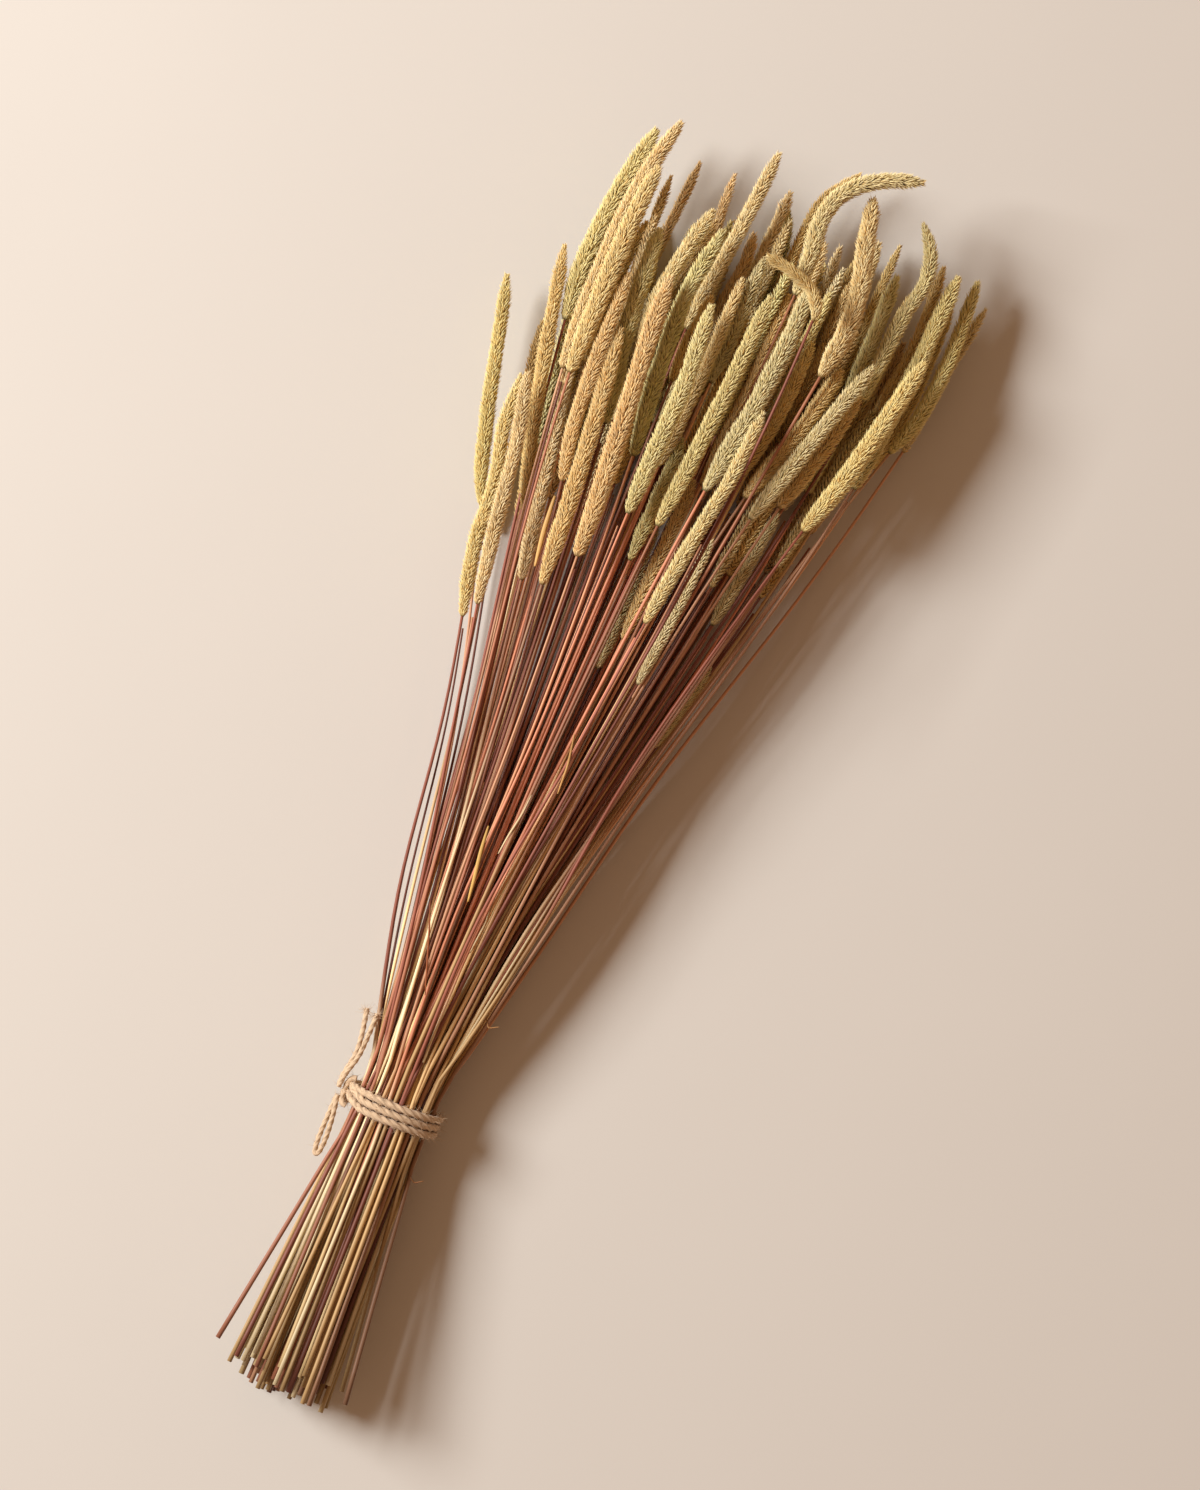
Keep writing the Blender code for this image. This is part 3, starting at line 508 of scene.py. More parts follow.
class Shell:
    """Arrays of vertices and faces that are gathered into one mesh."""

    def __init__(self):
        self.points = []
        self.tints = []
        self.threads = []
        self.faces = []
        self.kinds = []
        self.rounds = []
        self.size = 0

    def add(self, points, faces, tint, thread, kind, soft=True):
        """Append vertices, faces (an array of triangles or of quads), colours and lie."""
        count = len(points)
        self.rounds.append(np.full(len(faces), soft))
        self.points.append(points)
        self.tints.append(np.broadcast_to(tint, (count, 3)))
        self.threads.append(np.broadcast_to(thread, (count, 2)))
        self.faces.append(faces + self.size)
        self.kinds.append(np.full(len(faces), kind))
        self.size += count

    def tube(self, line, radii, sides, tint, kind, lobes=None, start=0.0):
        """Closed tube: P(u, v) = line(u) + r(u, v) (cos v side(u) + sin v up(u))."""
        way, side, up = frames(line)
        angle = -np.arange(sides) / sides * 2 * math.pi
        reach = np.broadcast_to(np.asarray(radii, float).reshape(-1, 1), (len(line), sides))
        if lobes is not None:
            reach = reach * lobes
        ring = line[:, None] + reach[..., None] * (np.cos(angle)[None, :, None] * side[:, None]
                                                   + np.sin(angle)[None, :, None] * up[:, None])
        points = np.concatenate((ring.reshape(-1, 3), line[:1], line[-1:]))
        points[:, 2] = np.maximum(points[:, 2], 0.03)
        n = len(line)
        k = np.arange(n - 1)[:, None] * sides
        j = np.arange(sides)[None]
        after = (j + 1) % sides
        quads = np.stack((k + j, k + after, k + sides + after, k + sides + j), axis=2).reshape(-1, 4)
        j = j[0]
        after = after[0]
        first = np.stack((np.full(sides, n * sides), after, j), axis=1)
        last = np.stack((np.full(sides, n * sides + 1), (n - 1) * sides + j, (n - 1) * sides + after), axis=1)
        run = np.concatenate(([0], np.cumsum(np.linalg.norm(np.diff(line, axis=0), axis=1)))) + start
        thread = np.stack((np.repeat(run, sides), np.tile(np.arange(sides) / sides, n)), axis=1)
        thread = np.concatenate((thread, ((run[0], 0), (run[-1], 0))))
        tint = np.asarray(tint, float)
        if tint.ndim == 2:
            tint = np.concatenate((np.repeat(tint, sides, axis=0), tint[:1], tint[-1:]))
        self.add(points, quads, tint, thread, kind)
        base = self.size - len(points)
        for cap in (first, last):
            self.faces.append(cap + base)
            self.kinds.append(np.full(len(cap), kind))
            self.rounds.append(np.zeros(len(cap), bool))

    def mesh(self, name, materials):
        """Blender object of everything gathered, in metres in the part's frame."""
        points = (np.concatenate(self.points) + (SHIFT_X, SHIFT_Y, 0)) * 0.001
        made = bpy.data.meshes.new(name)
        made.vertices.add(len(points))
        made.vertices.foreach_set("co", points.astype(np.float32).ravel())
        sizes = np.concatenate([np.full(len(f), f.shape[1]) for f in self.faces])
        corners = np.concatenate([f.ravel() for f in self.faces])
        made.loops.add(len(corners))
        made.loops.foreach_set("vertex_index", corners.astype(np.int32))
        made.polygons.add(len(sizes))
        starts = np.concatenate(([0], np.cumsum(sizes)[:-1]))
        made.polygons.foreach_set("loop_start", starts.astype(np.int32))
        made.polygons.foreach_set("material_index", np.concatenate(self.kinds).astype(np.int32))
        made.polygons.foreach_set("use_smooth", np.concatenate(self.rounds))
        tint = made.attributes.new("tint", "FLOAT_COLOR", "POINT")
        colour = np.ones((len(points), 4))
        colour[:, :3] = np.concatenate(self.tints)
        tint.data.foreach_set("color", colour.astype(np.float32).ravel())
        thread = made.attributes.new("thread", "FLOAT_VECTOR", "POINT")
        lie = np.zeros((len(points), 3))
        lie[:, :2] = np.concatenate(self.threads)
        thread.data.foreach_set("vector", lie.astype(np.float32).ravel())
        made.update(calc_edges=True)
        for look in materials:
            made.materials.append(look)
        item = bpy.data.objects.new(name, made)
        bpy.context.scene.collection.objects.link(item)
        return item


# Materials
def node(tree, kind, links=(), **settings):
    """Add a node, set its properties and inputs, and link what feeds it."""
    made = tree.nodes.new(kind)
    for key, value in settings.items():
        if hasattr(made, key):
            setattr(made, key, value)
        else:
            made.inputs[key.replace("_", " ")].default_value = value
    for source, target in links:
        tree.links.new(source, made.inputs[target])
    return made


def new_material(name):
    """Material with only its Principled shader and output, and its tree."""
    made = bpy.data.materials.get(name) or bpy.data.materials.new(name)
    made.use_nodes = True
    tree = made.node_tree
    for item in list(tree.nodes):
        if item.bl_idname not in ("ShaderNodeBsdfPrincipled", "ShaderNodeOutputMaterial"):
            tree.nodes.remove(item)
    return made, tree, tree.nodes["Principled BSDF"]


def floret_material():
    """Air-dried grass florets: papery husks, matt, paler where they catch light."""
    made, tree, shader = new_material("air_dried_grass_husk")
    tint = node(tree, "ShaderNodeAttribute", attribute_name="tint")
    place = node(tree, "ShaderNodeTexCoord")
    speck = node(tree, "ShaderNodeTexNoise", [(place.outputs["Object"], "Vector")], Scale=2600.0, Detail=2.0)
    shade = node(tree, "ShaderNodeMapRange", [(speck.outputs["Fac"], "Value")], To_Min=0.82, To_Max=1.16)
    mixed = node(tree, "ShaderNodeVectorMath", [(tint.outputs["Color"], 0), (shade.outputs[0], 1)],
                 operation="MULTIPLY")
    tree.links.new(mixed.outputs[0], shader.inputs["Base Color"])
    shader.inputs["Roughness"].default_value = 0.72
    shader.inputs["Specular IOR Level"].default_value = 0.25
    shader.inputs["Sheen Weight"].default_value = 0.04
    return made


def stem_material():
    """Cured grass culm: waxy straw skin with fine lengthwise ribs."""
    made, tree, shader = new_material("cured_grass_culm")
    tint = node(tree, "ShaderNodeAttribute", attribute_name="tint")
    lie = node(tree, "ShaderNodeAttribute", attribute_name="thread")
    scale = node(tree, "ShaderNodeVectorMath", [(lie.outputs["Vector"], 0)], operation="MULTIPLY")
    scale.inputs[1].default_value = (0.045, 9.0, 1.0)
    streak = node(tree, "ShaderNodeTexNoise", [(scale.outputs[0], "Vector")], Scale=1.0, Detail=3.0)
    shade = node(tree, "ShaderNodeMapRange", [(streak.outputs["Fac"], "Value")], To_Min=0.68, To_Max=1.25)
    mixed = node(tree, "ShaderNodeVectorMath", [(tint.outputs["Color"], 0), (shade.outputs[0], 1)],
                 operation="MULTIPLY")
    tree.links.new(mixed.outputs[0], shader.inputs["Base Color"])
    bump = node(tree, "ShaderNodeBump", [(streak.outputs["Fac"], "Height")], Strength=0.35, Distance=0.0002)
    tree.links.new(bump.outputs[0], shader.inputs["Normal"])
    shader.inputs["Roughness"].default_value = 0.5
    shader.inputs["Specular IOR Level"].default_value = 0.3
    return made


def twine_material():
    """Spun jute: dull bast fibres that follow the twist, some of them darker."""
    made, tree, shader = new_material("spun_jute_twine")
    tint = node(tree, "ShaderNodeAttribute", attribute_name="tint")
    lie = node(tree, "ShaderNodeAttribute", attribute_name="thread")
    along = node(tree, "ShaderNodeVectorMath", [(lie.outputs["Vector"], 0)], operation="DOT_PRODUCT")
    along.inputs[1].default_value = (0.3, 0, 0)
    across = node(tree, "ShaderNodeVectorMath", [(lie.outputs["Vector"], 0)], operation="DOT_PRODUCT")
    across.inputs[1].default_value = (-13 / 11.0, 13, 0)
    strand = node(tree, "ShaderNodeCombineXYZ", [(along.outputs["Value"], "X"), (across.outputs["Value"], "Y")])
    fibre = node(tree, "ShaderNodeTexNoise", [(strand.outputs[0], "Vector")], Scale=1.0, Detail=4.0)
    shade = node(tree, "ShaderNodeMapRange", [(fibre.outputs["Fac"], "Value")], To_Min=0.35, To_Max=1.5)
    mixed = node(tree, "ShaderNodeVectorMath", [(tint.outputs["Color"], 0), (shade.outputs[0], 1)],
                 operation="MULTIPLY")
    tree.links.new(mixed.outputs[0], shader.inputs["Base Color"])
    bump = node(tree, "ShaderNodeBump", [(fibre.outputs["Fac"], "Height")], Strength=0.6, Distance=0.0003)
    tree.links.new(bump.outputs[0], shader.inputs["Normal"])
    shader.inputs["Roughness"].default_value = 0.85
    shader.inputs["Sheen Weight"].default_value = 0.25
    return made


def floor_material(colour):
    """Matt painted board with a faint unevenness."""
    made, tree, shader = new_material("matt_painted_board")
    place = node(tree, "ShaderNodeTexCoord")
    cloud = node(tree, "ShaderNodeTexNoise", [(place.outputs["Object"], "Vector")], Scale=9.0, Detail=3.0)
    shade = node(tree, "ShaderNodeMapRange", [(cloud.outputs["Fac"], "Value")], To_Min=0.985, To_Max=1.015)
    base = node(tree, "ShaderNodeVectorMath", [(shade.outputs[0], 1)], operation="MULTIPLY")
    base.inputs[0].default_value = tuple(colour)
    tree.links.new(base.outputs[0], shader.inputs["Base Color"])
    shader.inputs["Roughness"].default_value = 0.9
    return made


# Stalks
def stem_line(t, shift, i):
    """Middle line of a stem at close steps, with the bends at its knots rounded."""
    base_y = t["base"][i, 1]
    ys = np.linspace(t["cut"][i, 1], base_y + 2, 91)
    line = stem_points(t, shift, i, ys)
    free = np.clip((np.abs(ys) - 16) / 30, 0, 1)[:, None]
    return (line + free * (smooth(line, 60) - line))[::3]


def stem_tints(t, i, ys, rng):
    """Colour along a stem: straw, russet, or straw below a joint and russet above it, with painted shade towards the
    cut end and painted light towards the heads.
    """
    kind = 1 if i == CROSSING else rng.choice(3, p=(0.28, 0.36, 0.36))
    russet = linear(RUSSET[rng.randint(3)]) * rng.uniform(0.5, 1.6)
    straw = linear(STRAW[rng.randint(3)]) * rng.uniform(0.85, 1.25)
    joint = rng.uniform(-80, 75)
    blend = {0: np.zeros(len(ys)), 1: np.ones(len(ys)), 2: np.clip((ys - joint) / 30, 0, 1)}[kind]
    if kind == 0 and rng.rand() < 0.75:
        blend = np.clip((ys - rng.uniform(30, 120)) / 90, 0, 0.85)
    tint = straw[None] * (1 - blend[:, None]) + russet[None] * blend[:, None]
    collar = np.exp(-((ys - joint) / 1.2) ** 2)[:, None]
    # Painted shade, deepest at the cut ends, and painted light towards the heads: darker below, lighter above
    tint = tint * np.interp(ys, (-110, -25, 30, 120), (0.58, 0.84, 1.06, 1.24))[:, None]
    return tint * (1 - 0.55 * collar), joint


def add_stem(shell, t, shift, i, rng):
    """Tapered culm with a swollen joint and a leaf sheath above it."""
    line = stem_line(t, shift, i)
    tint, joint = stem_tints(t, i, line[:, 1], rng)
    reach = stem_radius(t, i, line[:, 1])
    from_joint = line[:, 1] - joint
    swell = 1 + 0.22 * np.exp(-(from_joint / 1.6) ** 2)
    sheath = 1 + 0.09 * ((from_joint > 0) & (from_joint < 60 + 30 * rng.rand()))
    shell.tube(line, reach * swell * sheath, 8, tint, 1, start=rng.uniform(0, 500))


def head_line(t, shift, i, count):
    """Middle line of a head at even steps."""
    return smooth(spike_points(t, shift, i, np.linspace(0, 1, count)), 3)


def head_tints(t, i, rng):
    """Pale and middle colour of one head, and the dark colour for its painted shade, with a cast of its own."""
    pale, middle, dark = [linear(c) for c in FLORET_TINTS[t["spikes"][i][2]]]
    cast = rng.uniform(0.92, 1.14) * np.array([1, rng.uniform(0.96, 1.03), rng.uniform(0.86, 1.12)])
    return pale * cast, middle * cast, dark * cast


def add_head(shell, t, shift, i, rng, settings):
    """Cylindrical head: a slim core and florets set round it in a spiral, tips towards the top.

    Floret k sits at the share s_k of the length and at angle 2.4 k round the core.  It is a keeled
    husk of four faces: the keel runs from 0.56 R out to about 1.05 R, leaning 17 to 34 degrees
    away from the core, and the two sides fall back towards it.  The core and the roots are painted shade, and the tips
    carry a painted highlight over their own paler colour.
    """
    seen = t["seen"][i]
    line = head_line(t, shift, i, 32)
    share = np.linspace(0, 1, 32)
    reach = spike_radius(t["width"][i], share)
    pale, middle, dark = head_tints(t, i, rng)
    # The core is painted shade: dark, so that the gaps between the florets read as shade
    shell.tube(line, np.maximum(reach * 0.72, 0.3), 8, dark * 0.45, 0)
    length = np.linalg.norm(np.diff(line, axis=0), axis=1).sum()
    area = 2 * math.pi * reach.mean() * length
    dense = settings.florets_seen if seen else settings.florets_hidden
    count = int(area * dense)
    k = np.arange(count)
    even = np.interp((k + 0.5) / count, np.cumsum(reach) / reach.sum(), share)
    s = np.clip(even + rng.normal(0, 0.0012, count), 0.0, 0.992)
    angle = 2.39996 * k + rng.normal(0, 0.05, count)
    way, side, up = frames(line)
    at = [np.stack([np.interp(s, share, v[:, c]) for c in range(3)], axis=1) for v in (line, way, side, up)]
    centre, way, side, up = at
    way = unit(way)
    out = unit(np.cos(angle)[:, None] * side + np.sin(angle)[:, None] * up)
    across = np.cross(way, out)
    radius = np.interp(s, share, reach)
    ruffled = 1 + 0.25 * rng.rand() * np.sin(s * rng.uniform(9, 30) + rng.uniform(0, 6))
    lean = np.radians(rng.uniform(23, 35, count)) * np.interp(s, (0, 0.9, 1), (1, 1, 0.35)) * ruffled
    size = settings.floret_length * rng.uniform(0.75, 1.2, count) * np.interp(s, (0, 0.1, 0.9, 1), (0.8, 1, 1, 0.75))
    size *= 0.55 + 0.15 * t["width"][i] / 2
    wide = settings.floret_width * (1.0 if seen else 1.45) * rng.uniform(0.8, 1.15, count)
    aim = unit(np.cos(lean)[:, None] * way + np.sin(lean)[:, None] * out
               + rng.normal(0, 0.05, count)[:, None] * across)
    lift = unit(out - (out * aim).sum(axis=1)[:, None] * aim)
    root = centre + out * (radius * 0.67)[:, None] - aim * (0.15 * size)[:, None]
    fat = root + aim * (0.66 * size)[:, None] - lift * (wide * 0.45)[:, None]
    tip = root + aim * (size * 1.2)[:, None]
    corners = np.stack((root,
                        fat + across * (wide * 0.5)[:, None],
                        fat - across * (wide * 0.5)[:, None],
                        tip), axis=1)
    corners[:, :, 2] = np.maximum(corners[:, :, 2], 0.06)
    faces = np.array(((0, 1, 3), (0, 3, 2), (0, 2, 1), (1, 2, 3)))
    faces = (faces[None] + 4 * k[:, None, None]).reshape(-1, 3)
    turn = rng.rand(count)[:, None]
    body = (pale * turn + middle * (1 - turn)) * rng.uniform(0.74, 1.16, count)[:, None]
    ripe = (rng.rand(count) < 0.05)[:, None]
    body = np.where(ripe, body * (0.80, 0.68, 0.56), body)
    # Painted shade at each floret's root, where the gaps between florets fall dark; the tip is lighter, partly its own
    # paler colour and partly a painted highlight
    shade = dark * 0.40 * np.ones_like(body)
    tints = np.stack((shade, body * 0.95, body * 0.95, body * 1.30), axis=1)
    tints *= np.minimum(1, 0.97 / tints.max(axis=2, keepdims=True))
    shell.add(corners.reshape(-1, 3), faces, tints.reshape(-1, 3), (0.0, 0.0), 0, soft=False)


def stem_lines(t, shift):
    """Middle line and thickness of every stem at shared heights, without the ones already ended."""
    ys = np.arange(-110.0, 330.0, 5.0)
    lines = []
    for i in range(len(t["spikes"])):
        line = stem_line(t, shift, i)
        inside = (ys >= line[0, 1]) & (ys <= line[-1, 1])
        point = np.stack([np.interp(ys, line[:, 1], line[:, c]) for c in range(3)], axis=1)
        lines.append(np.where(inside[:, None], point, np.nan))
    return ys, np.stack(lines)


def add_thin_culms(shell, t, shift, rng, count):
    """Thin culms that lost their head: each runs between two stems that lie side by side.

    P(y) = (1 - w) A(y) + w B(y), from the twine up to a little under the lower of the two heads.
    """
    ys, lines = stem_lines(t, shift)
    level = int(np.argmin(np.abs(ys - 130)))
    here = lines[:, level, 0]
    order = np.argsort(np.where(np.isnan(here), 999, here))
    order = order[~np.isnan(here[order])]
    for k in range(count):
        n = int((k + 0.5) / count * (len(order) - 3))
        a, b = order[n], order[n + rng.randint(1, 4)]
        w = rng.uniform(0.3, 0.7)
        both = (1 - w) * lines[a] + w * lines[b]
        top = min(t["base"][a, 1], t["base"][b, 1])
        keep = (ys > rng.uniform(4, 16)) & (ys < top - 2) & ~np.isnan(both[:, 0])
        line = both[keep]
        if len(line) < 12:
            continue
        share = np.linspace(0, 1, len(line))
        line[:, 0] += rng.uniform(-1, 1) * np.sin(math.pi * share)
        tint, _ = stem_tints(t, a, line[:, 1], rng)
        tint = tint * rng.choice((0.45, 0.7, 1.1))
        shell.tube(smooth(line, 3), rng.uniform(0.46, 0.66) * (1 - 0.3 * share), 6, tint, 1,
                   start=rng.uniform(0, 500))


def add_scraps(shell, t, shift, rng):
    """Dry leaf scraps and wisps: narrow blades with a raised midrib that lie along the upper stems."""
    ys, lines = stem_lines(t, shift)
    rib = np.array([1.0, 0.24, 0.16, 0.24, 1.0, 0.22, 0.14, 0.22])
    for route, width, code in SCRAPS:
        flat, _ = resample(np.array([(x, y, 0.0) for x, y in route]), 22)
        flat = smooth(flat, 4)
        x, y, _ = flat[11]
        row = lines[:, int(np.argmin(np.abs(ys - y)))]
        under = lines[int(np.nanargmax(row[:, 2] - 4 * np.abs(row[:, 0] - x)))]
        known = ~np.isnan(under[:, 2])
        share = np.linspace(0, 1, len(flat))
        flat[:, 2] = np.interp(flat[:, 1], ys[known], under[known, 2]) + 0.9
        flat[:, 2] += 0.2 * np.sin(9 * share + rng.uniform(0, 6))
        half = width / 2 * np.sqrt(np.clip(np.sin(math.pi * (0.06 + 0.88 * share)), 0, 1))
        tint = linear(code) * (0.85 + 0.3 * share[:, None])
        shell.tube(flat, half, 8, tint, 1, rib[None] * np.ones((len(flat), 1)), start=rng.uniform(0, 500))


# Twine
def twine_lobes(line, sides, lay, depth, turn=0.0):
    """Three-ply section that turns along the twine: 1 - depth (1 - |cos(1.5 (v - 2 pi u / lay))|)."""
    run = np.concatenate(([0], np.cumsum(np.linalg.norm(np.diff(line, axis=0), axis=1))))
    angle = np.arange(sides)[None] / sides * 2 * math.pi - 2 * math.pi * run[:, None] / lay + turn
    return 1 - depth * (1 - np.abs(np.cos(1.5 * angle)))


def wrap_line(count):
    """Middle line of the three turns: an ellipse round the tie that steps along Y by a turn."""
    turn = np.linspace(0.5, 3.5, count)
    angle = math.pi + 2 * math.pi * (turn - 0.5)
    half = TWINE / 2
    x = (TIE_HALF_WIDTH + PLAY + half) * np.cos(angle)
    z = TIE_Z + (TIE_HALF_HEIGHT + PLAY + half - 0.12) * np.sin(angle)
    step = np.floor(turn - 0.5) + np.clip(((turn - 0.5) % 1 - 0.86) / 0.14, 0, 1)
    y = (np.minimum(step, 2.0) - 1) * TURN - 0.6 - 0.9 * np.sin(angle)
    return np.stack((x, y, z), axis=1)


def knot_lines():
    """Two short crossing lengths of twine over the turns on the left, tucked in at both ends."""
    v = np.linspace(-1, 1, 36)
    out = TIE_HALF_WIDTH + PLAY + 0.9 + 2.55 * np.sqrt(np.clip(1 - v ** 4, 0, 1))
    lines = []
    for slant in (1.9, -1.9):
        lines.append(np.stack((-out, 5.2 * v - 0.6, TIE_Z + slant * v), axis=1))
    return lines


def fibres(shell, line, radius, count, length, rng, tint):
    """Loose hairs: thin three-sided spikes that leave the twine and curl."""
    at = rng.randint(1, len(line) - 1, count)
    way, side, up = frames(line)
    angle = rng.uniform(0, 2 * math.pi, count)
    out = np.cos(angle)[:, None] * side[at] + np.sin(angle)[:, None] * up[at]
    start = line[at] + out * radius * 0.8
    aim = unit(out * rng.uniform(0.3, 1.0, count)[:, None] + way[at] * rng.uniform(-1.2, 1.2, count)[:, None])
    bend = unit(np.cross(aim, rng.normal(0, 1, (count, 3))))
    size = length * rng.uniform(0.4, 1.2, count)
    steps = np.linspace(0, 1, 5)
    path = start[:, None] + aim[:, None] * (steps[None] * size[:, None])[..., None]
    path = path + bend[:, None] * ((steps ** 2)[None] * (0.5 * size * rng.uniform(-1, 1, count))[:, None])[..., None]
    thick = 0.075 * (1 - 0.7 * steps)
    cross = unit(np.cross(aim, bend))
    ring = np.arange(3) / 3 * 2 * math.pi
    offset = np.cos(ring)[:, None] * cross[:, None] + np.sin(ring)[:, None] * bend[:, None]
    points = path[:, :, None] + thick[None, :, None, None] * offset[:, None]
    points[..., 2] = np.maximum(points[..., 2], 0.05)
    k = np.arange(4)[:, None] * 3
    j = np.arange(3)[None]
    after = (j + 1) % 3
    quads = np.stack((k + j, k + after, k + 3 + after, k + 3 + j), axis=2).reshape(-1, 4)
    block = np.arange(count)[:, None, None] * 15
    ends = np.array(((2, 1, 0), (12, 13, 14)))
    colour = tint * rng.uniform(0.8, 1.3, count)[:, None]
    base = shell.size
    shell.add(points.reshape(-1, 3), (quads[None] + block).reshape(-1, 4), np.repeat(colour, 15, axis=0),
              (0.0, 0.0), 0)
    shell.faces.append((ends[None] + block).reshape(-1, 3) + base)
    shell.kinds.append(np.zeros(2 * count, int))
    shell.rounds.append(np.zeros(2 * count, bool))


def cord_line(route):
    """The source's route, rounded as there, at even steps."""
    points, _ = resample(route, 18)
    line, length = resample(smooth(points, 4), 120)
    return smooth(line, 6), length


class TimothyGrass(bpy.types.PropertyGroup):
    """Sizes of the florets"""
    florets_seen: FloatProperty(name="Florets, upper heads", description="Florets on each square millimetre",
                                default=1.4, min=0.1, max=3.0)
    florets_hidden: FloatProperty(name="Florets, lower heads", description="Florets on each square millimetre",
                                  default=0.7, min=0.1, max=3.0)
    floret_length: FloatProperty(name="Floret length", description="Length of a floret in millimetres",
                                 default=2.75, min=0.5, max=6.0)
    floret_width: FloatProperty(name="Floret width", description="Width of a floret in millimetres",
                                default=0.7, min=0.2, max=2.0)
    thin_culms: IntProperty(name="Thin culms", description="Culms without a head among the stems",
                            default=120, min=0)
    seed: IntProperty(name="Seed", description="Which random bundle is made", default=5)


class TimothyTwine(bpy.types.PropertyGroup):
    """Sizes and colour of the twine"""
    lay: FloatProperty(name="Lay", description="Length of one twist in millimetres", default=11.0, min=2, max=30)
    hairs: IntProperty(name="Hairs", description="Loose hairs on the turns round the stems", default=900, min=0)
    colour: FloatVectorProperty(name="Colour", description="Colour of the jute", subtype="COLOR",
                                default=tuple(linear("#D6BA98")), min=0, max=1)


class TimothyStage(bpy.types.PropertyGroup):
    """Floor and lights"""
    floor: FloatVectorProperty(name="Floor", description="Colour of the floor", subtype="COLOR",
                               default=tuple(linear("#D6D2CA")), min=0, max=1)
    key: FloatProperty(name="Key light", description="Power of the soft key light", default=93.0, unit="POWER")
    fill: FloatProperty(name="Fill", description="Strength of the light from all round", default=1.0)


class TIMOTHY_OT_stalks(bpy.types.Operator):
    """Replace every node of stalks by stems and heads with florets"""
    bl_idname = "timothy.stalks"
    bl_label = "Stalks"

    def execute(self, context):
        settings = context.scene.timothy_grass
        rng = np.random.RandomState(settings.seed)
        t = shape_table(np.random.RandomState(SEED))
        shift = lay_across(t, settle(t))
        looks = (floret_material(), stem_material())
        for k, group in enumerate(partners(t), 1):
            shell = Shell()
            for i in group:
                add_stem(shell, t, shift, i, rng)
                add_head(shell, t, shift, i, rng, settings)
            piece = shell.mesh(f"grass_{k:02d}", looks)
            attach(piece, "root")
            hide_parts(f"stalk_{k:02d}")
        loose = Shell()
        add_thin_culms(loose, t, shift, rng, settings.thin_culms)
        add_scraps(loose, t, shift, rng)
        piece = loose.mesh("grass_thin_culms", looks)
        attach(piece, "root")
        return {"FINISHED"}


class TIMOTHY_OT_twine_wrap(bpy.types.Operator):
    """Three turns of twisted twine round the stems, with the knot and loose hairs"""
    bl_idname = "timothy.twine_wrap"
    bl_label = "Twine round the stems"

    def execute(self, context):
        settings = context.scene.timothy_twine
        rng = np.random.RandomState(31)
        tint = np.array(settings.colour)
        shell = Shell()
        line = wrap_line(900)
        shell.tube(line, TWINE / 2, 15, tint, 0, twine_lobes(line, 15, settings.lay, 0.36))
        for knot in knot_lines():
            fine = smooth(resample(knot, 60)[0], 3)
            shell.tube(fine, 1.15, 12, tint, 0, twine_lobes(fine, 12, settings.lay, 0.30))
            fibres(shell, fine, 1.1, 30, 2.4, rng, tint)
        fibres(shell, line, TWINE / 2, settings.hairs, 3.2, rng, tint)
        piece = shell.mesh("jute_turns", (twine_material(),))
        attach(piece, "root")
        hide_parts("twine_wrap")
        return {"FINISHED"}


class TIMOTHY_OT_twine_ends(bpy.types.Operator):
    """The twine's two free ends and its loop, each a twisted cord of known length"""
    bl_idname = "timothy.twine_ends"
    bl_label = "Free twine"

    def execute(self, context):
        settings = context.scene.timothy_twine
        rng = np.random.RandomState(37)
        tint = np.array(settings.colour)
        look = twine_material()
        hairs = Shell()
        for name, route, far in (("twine_end_upper", UPPER_END, "bare"), ("twine_end_lower", LOWER_END, "bare"),
                                 ("twine_loop", LOOP, "object")):
            line, length = cord_line(route)
            shell = Shell()
            shell.tube(line, TWINE_END / 2, 12, tint, 0, twine_lobes(line, 12, settings.lay * 0.8, 0.32))
            piece = shell.mesh("jute_" + name[6:], (look,))
            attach(piece, "root")
            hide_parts(name)
            fibres(hairs, line, 0.9, 50, 2.2, rng, tint)
            if far == "bare":
                fibres(hairs, line[-9:], 0.7, 40, 4.2, rng, tint)
        piece = hairs.mesh("jute_hairs", (look,))
        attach(piece, "root")
        return {"FINISHED"}


class TIMOTHY_OT_stage(bpy.types.Operator):
    """Floor, lights and the camera over the bundle"""
    bl_idname = "timothy.stage"
    bl_label = "Stage"

    def execute(self, context):
        settings = context.scene.timothy_stage
        bpy.ops.mesh.primitive_plane_add(size=8.0, location=(0, 0, 0))
        floor = context.object
        floor.name = "painted_board"
        floor.data.materials.append(floor_material(settings.floor))
        add_lights(context, settings)
        add_camera(context)
        return {"FINISHED"}


def picture_axes():
    """The picture's right and up directions on the surface."""
    right = np.array((math.cos(LEAN), math.sin(LEAN), 0))
    up = np.array((-math.sin(LEAN), math.cos(LEAN), 0))
    return right, up


def picture_place(x, y):
    """Place on the surface, in metres, that a pixel of the photograph shows."""
    right, up = picture_axes()
    place = right * (x - TIE_PIXEL[0]) * PIXEL - up * (y - TIE_PIXEL[1]) * PIXEL
    return (place + (SHIFT_X, SHIFT_Y, 0)) * 0.001


def aimed(item, target):
    """Turn a light so that it faces a point."""
    from mathutils import Vector
    item.rotation_euler = (Vector(target) - item.location).to_track_quat("-Z", "Y").to_euler()


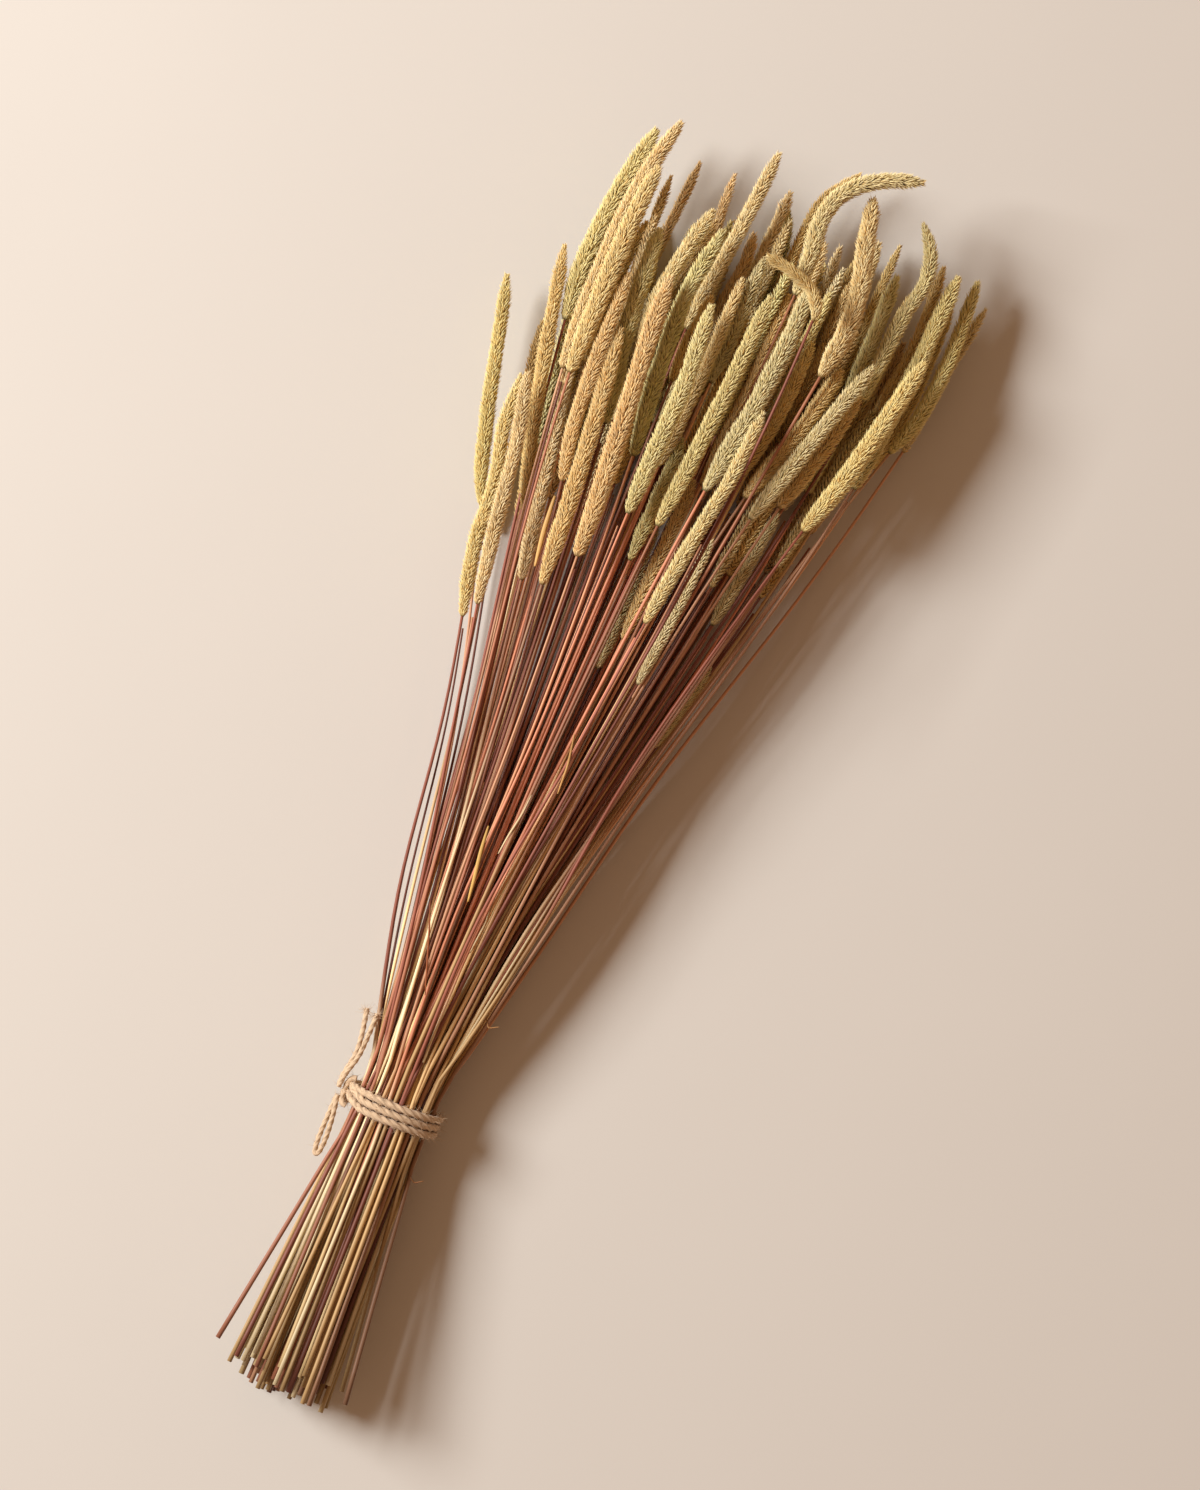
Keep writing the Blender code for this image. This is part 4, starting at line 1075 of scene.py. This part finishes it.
def add_lights(context, settings):
    """Large soft key from the picture's upper left, and light from all round."""
    right, up = picture_axes()
    middle = picture_place(*(0.5 * n for n in PICTURE))
    key = bpy.data.lights.new("soft_key", "AREA")
    key.energy = settings.key
    key.size = 0.95
    key.color = (1.0, 1.0, 1.0)
    lamp = bpy.data.objects.new("soft_key", key)
    context.scene.collection.objects.link(lamp)
    lamp.location = tuple(middle - right * 1.86 + up * 0.90 + np.array((0, 0, 1.5)))
    aimed(lamp, middle)
    world = context.scene.world or bpy.data.worlds.new("studio")
    context.scene.world = world
    world.use_nodes = True
    back = world.node_tree.nodes["Background"]
    back.inputs["Color"].default_value = (0.319, 0.185, 0.108, 1)
    back.inputs["Strength"].default_value = settings.fill


def add_camera(context):
    """Camera straight over the photograph's middle, turned as the photograph is."""
    from mathutils import Matrix
    right, up = picture_axes()
    place = picture_place(*(0.5 * n for n in PICTURE))
    lens = bpy.data.cameras.new("camera")
    camera = bpy.data.objects.new("camera", lens)
    context.scene.collection.objects.link(camera)
    turn = Matrix(((right[0], up[0], 0), (right[1], up[1], 0), (0, 0, 1)))
    camera.matrix_world = Matrix.Translation((place[0], place[1], CAMERA_HEIGHT * 0.001)) @ turn.to_4x4()
    lens.sensor_fit = "VERTICAL"
    lens.sensor_height = 24.0
    lens.lens = lens.sensor_height * (CAMERA_HEIGHT - 25) / (PICTURE[1] * PIXEL)
    context.scene.camera = camera
    context.scene.view_settings.view_transform = "Standard"


class TIMOTHY_PT_panel(bpy.types.Panel):
    """Steps of the bundle's dressing"""
    bl_idname = "TIMOTHY_PT_panel"
    bl_label = "Dried timothy bundle"
    bl_space_type = "VIEW_3D"
    bl_region_type = "UI"
    bl_category = "Timothy"

    def draw(self, context):
        for group in (context.scene.timothy_grass, context.scene.timothy_twine, context.scene.timothy_stage):
            box = self.layout.box()
            for name in group.__annotations__:
                box.prop(group, name)
        for step in STEPS:
            self.layout.operator(step.bl_idname)


STEPS = (TIMOTHY_OT_stage, TIMOTHY_OT_twine_ends, TIMOTHY_OT_twine_wrap, TIMOTHY_OT_stalks)
CLASSES = (TimothyGrass, TimothyTwine, TimothyStage, TIMOTHY_PT_panel) + STEPS


def register():
    """Register the classes and the settings on the scene."""
    for item in CLASSES:
        bpy.utils.register_class(item)
    bpy.types.Scene.timothy_grass = PointerProperty(type=TimothyGrass)
    bpy.types.Scene.timothy_twine = PointerProperty(type=TimothyTwine)
    bpy.types.Scene.timothy_stage = PointerProperty(type=TimothyStage)


def unregister():
    """Undo register."""
    del bpy.types.Scene.timothy_stage
    del bpy.types.Scene.timothy_twine
    del bpy.types.Scene.timothy_grass
    for item in reversed(CLASSES):
        bpy.utils.unregister_class(item)


def main():
    """Dress the frame."""
    register()
    bpy.ops.timothy.stage()
    bpy.ops.timothy.twine_ends()
    bpy.ops.timothy.twine_wrap()
    bpy.ops.timothy.stalks()


if __name__ == "__main__":
    main()
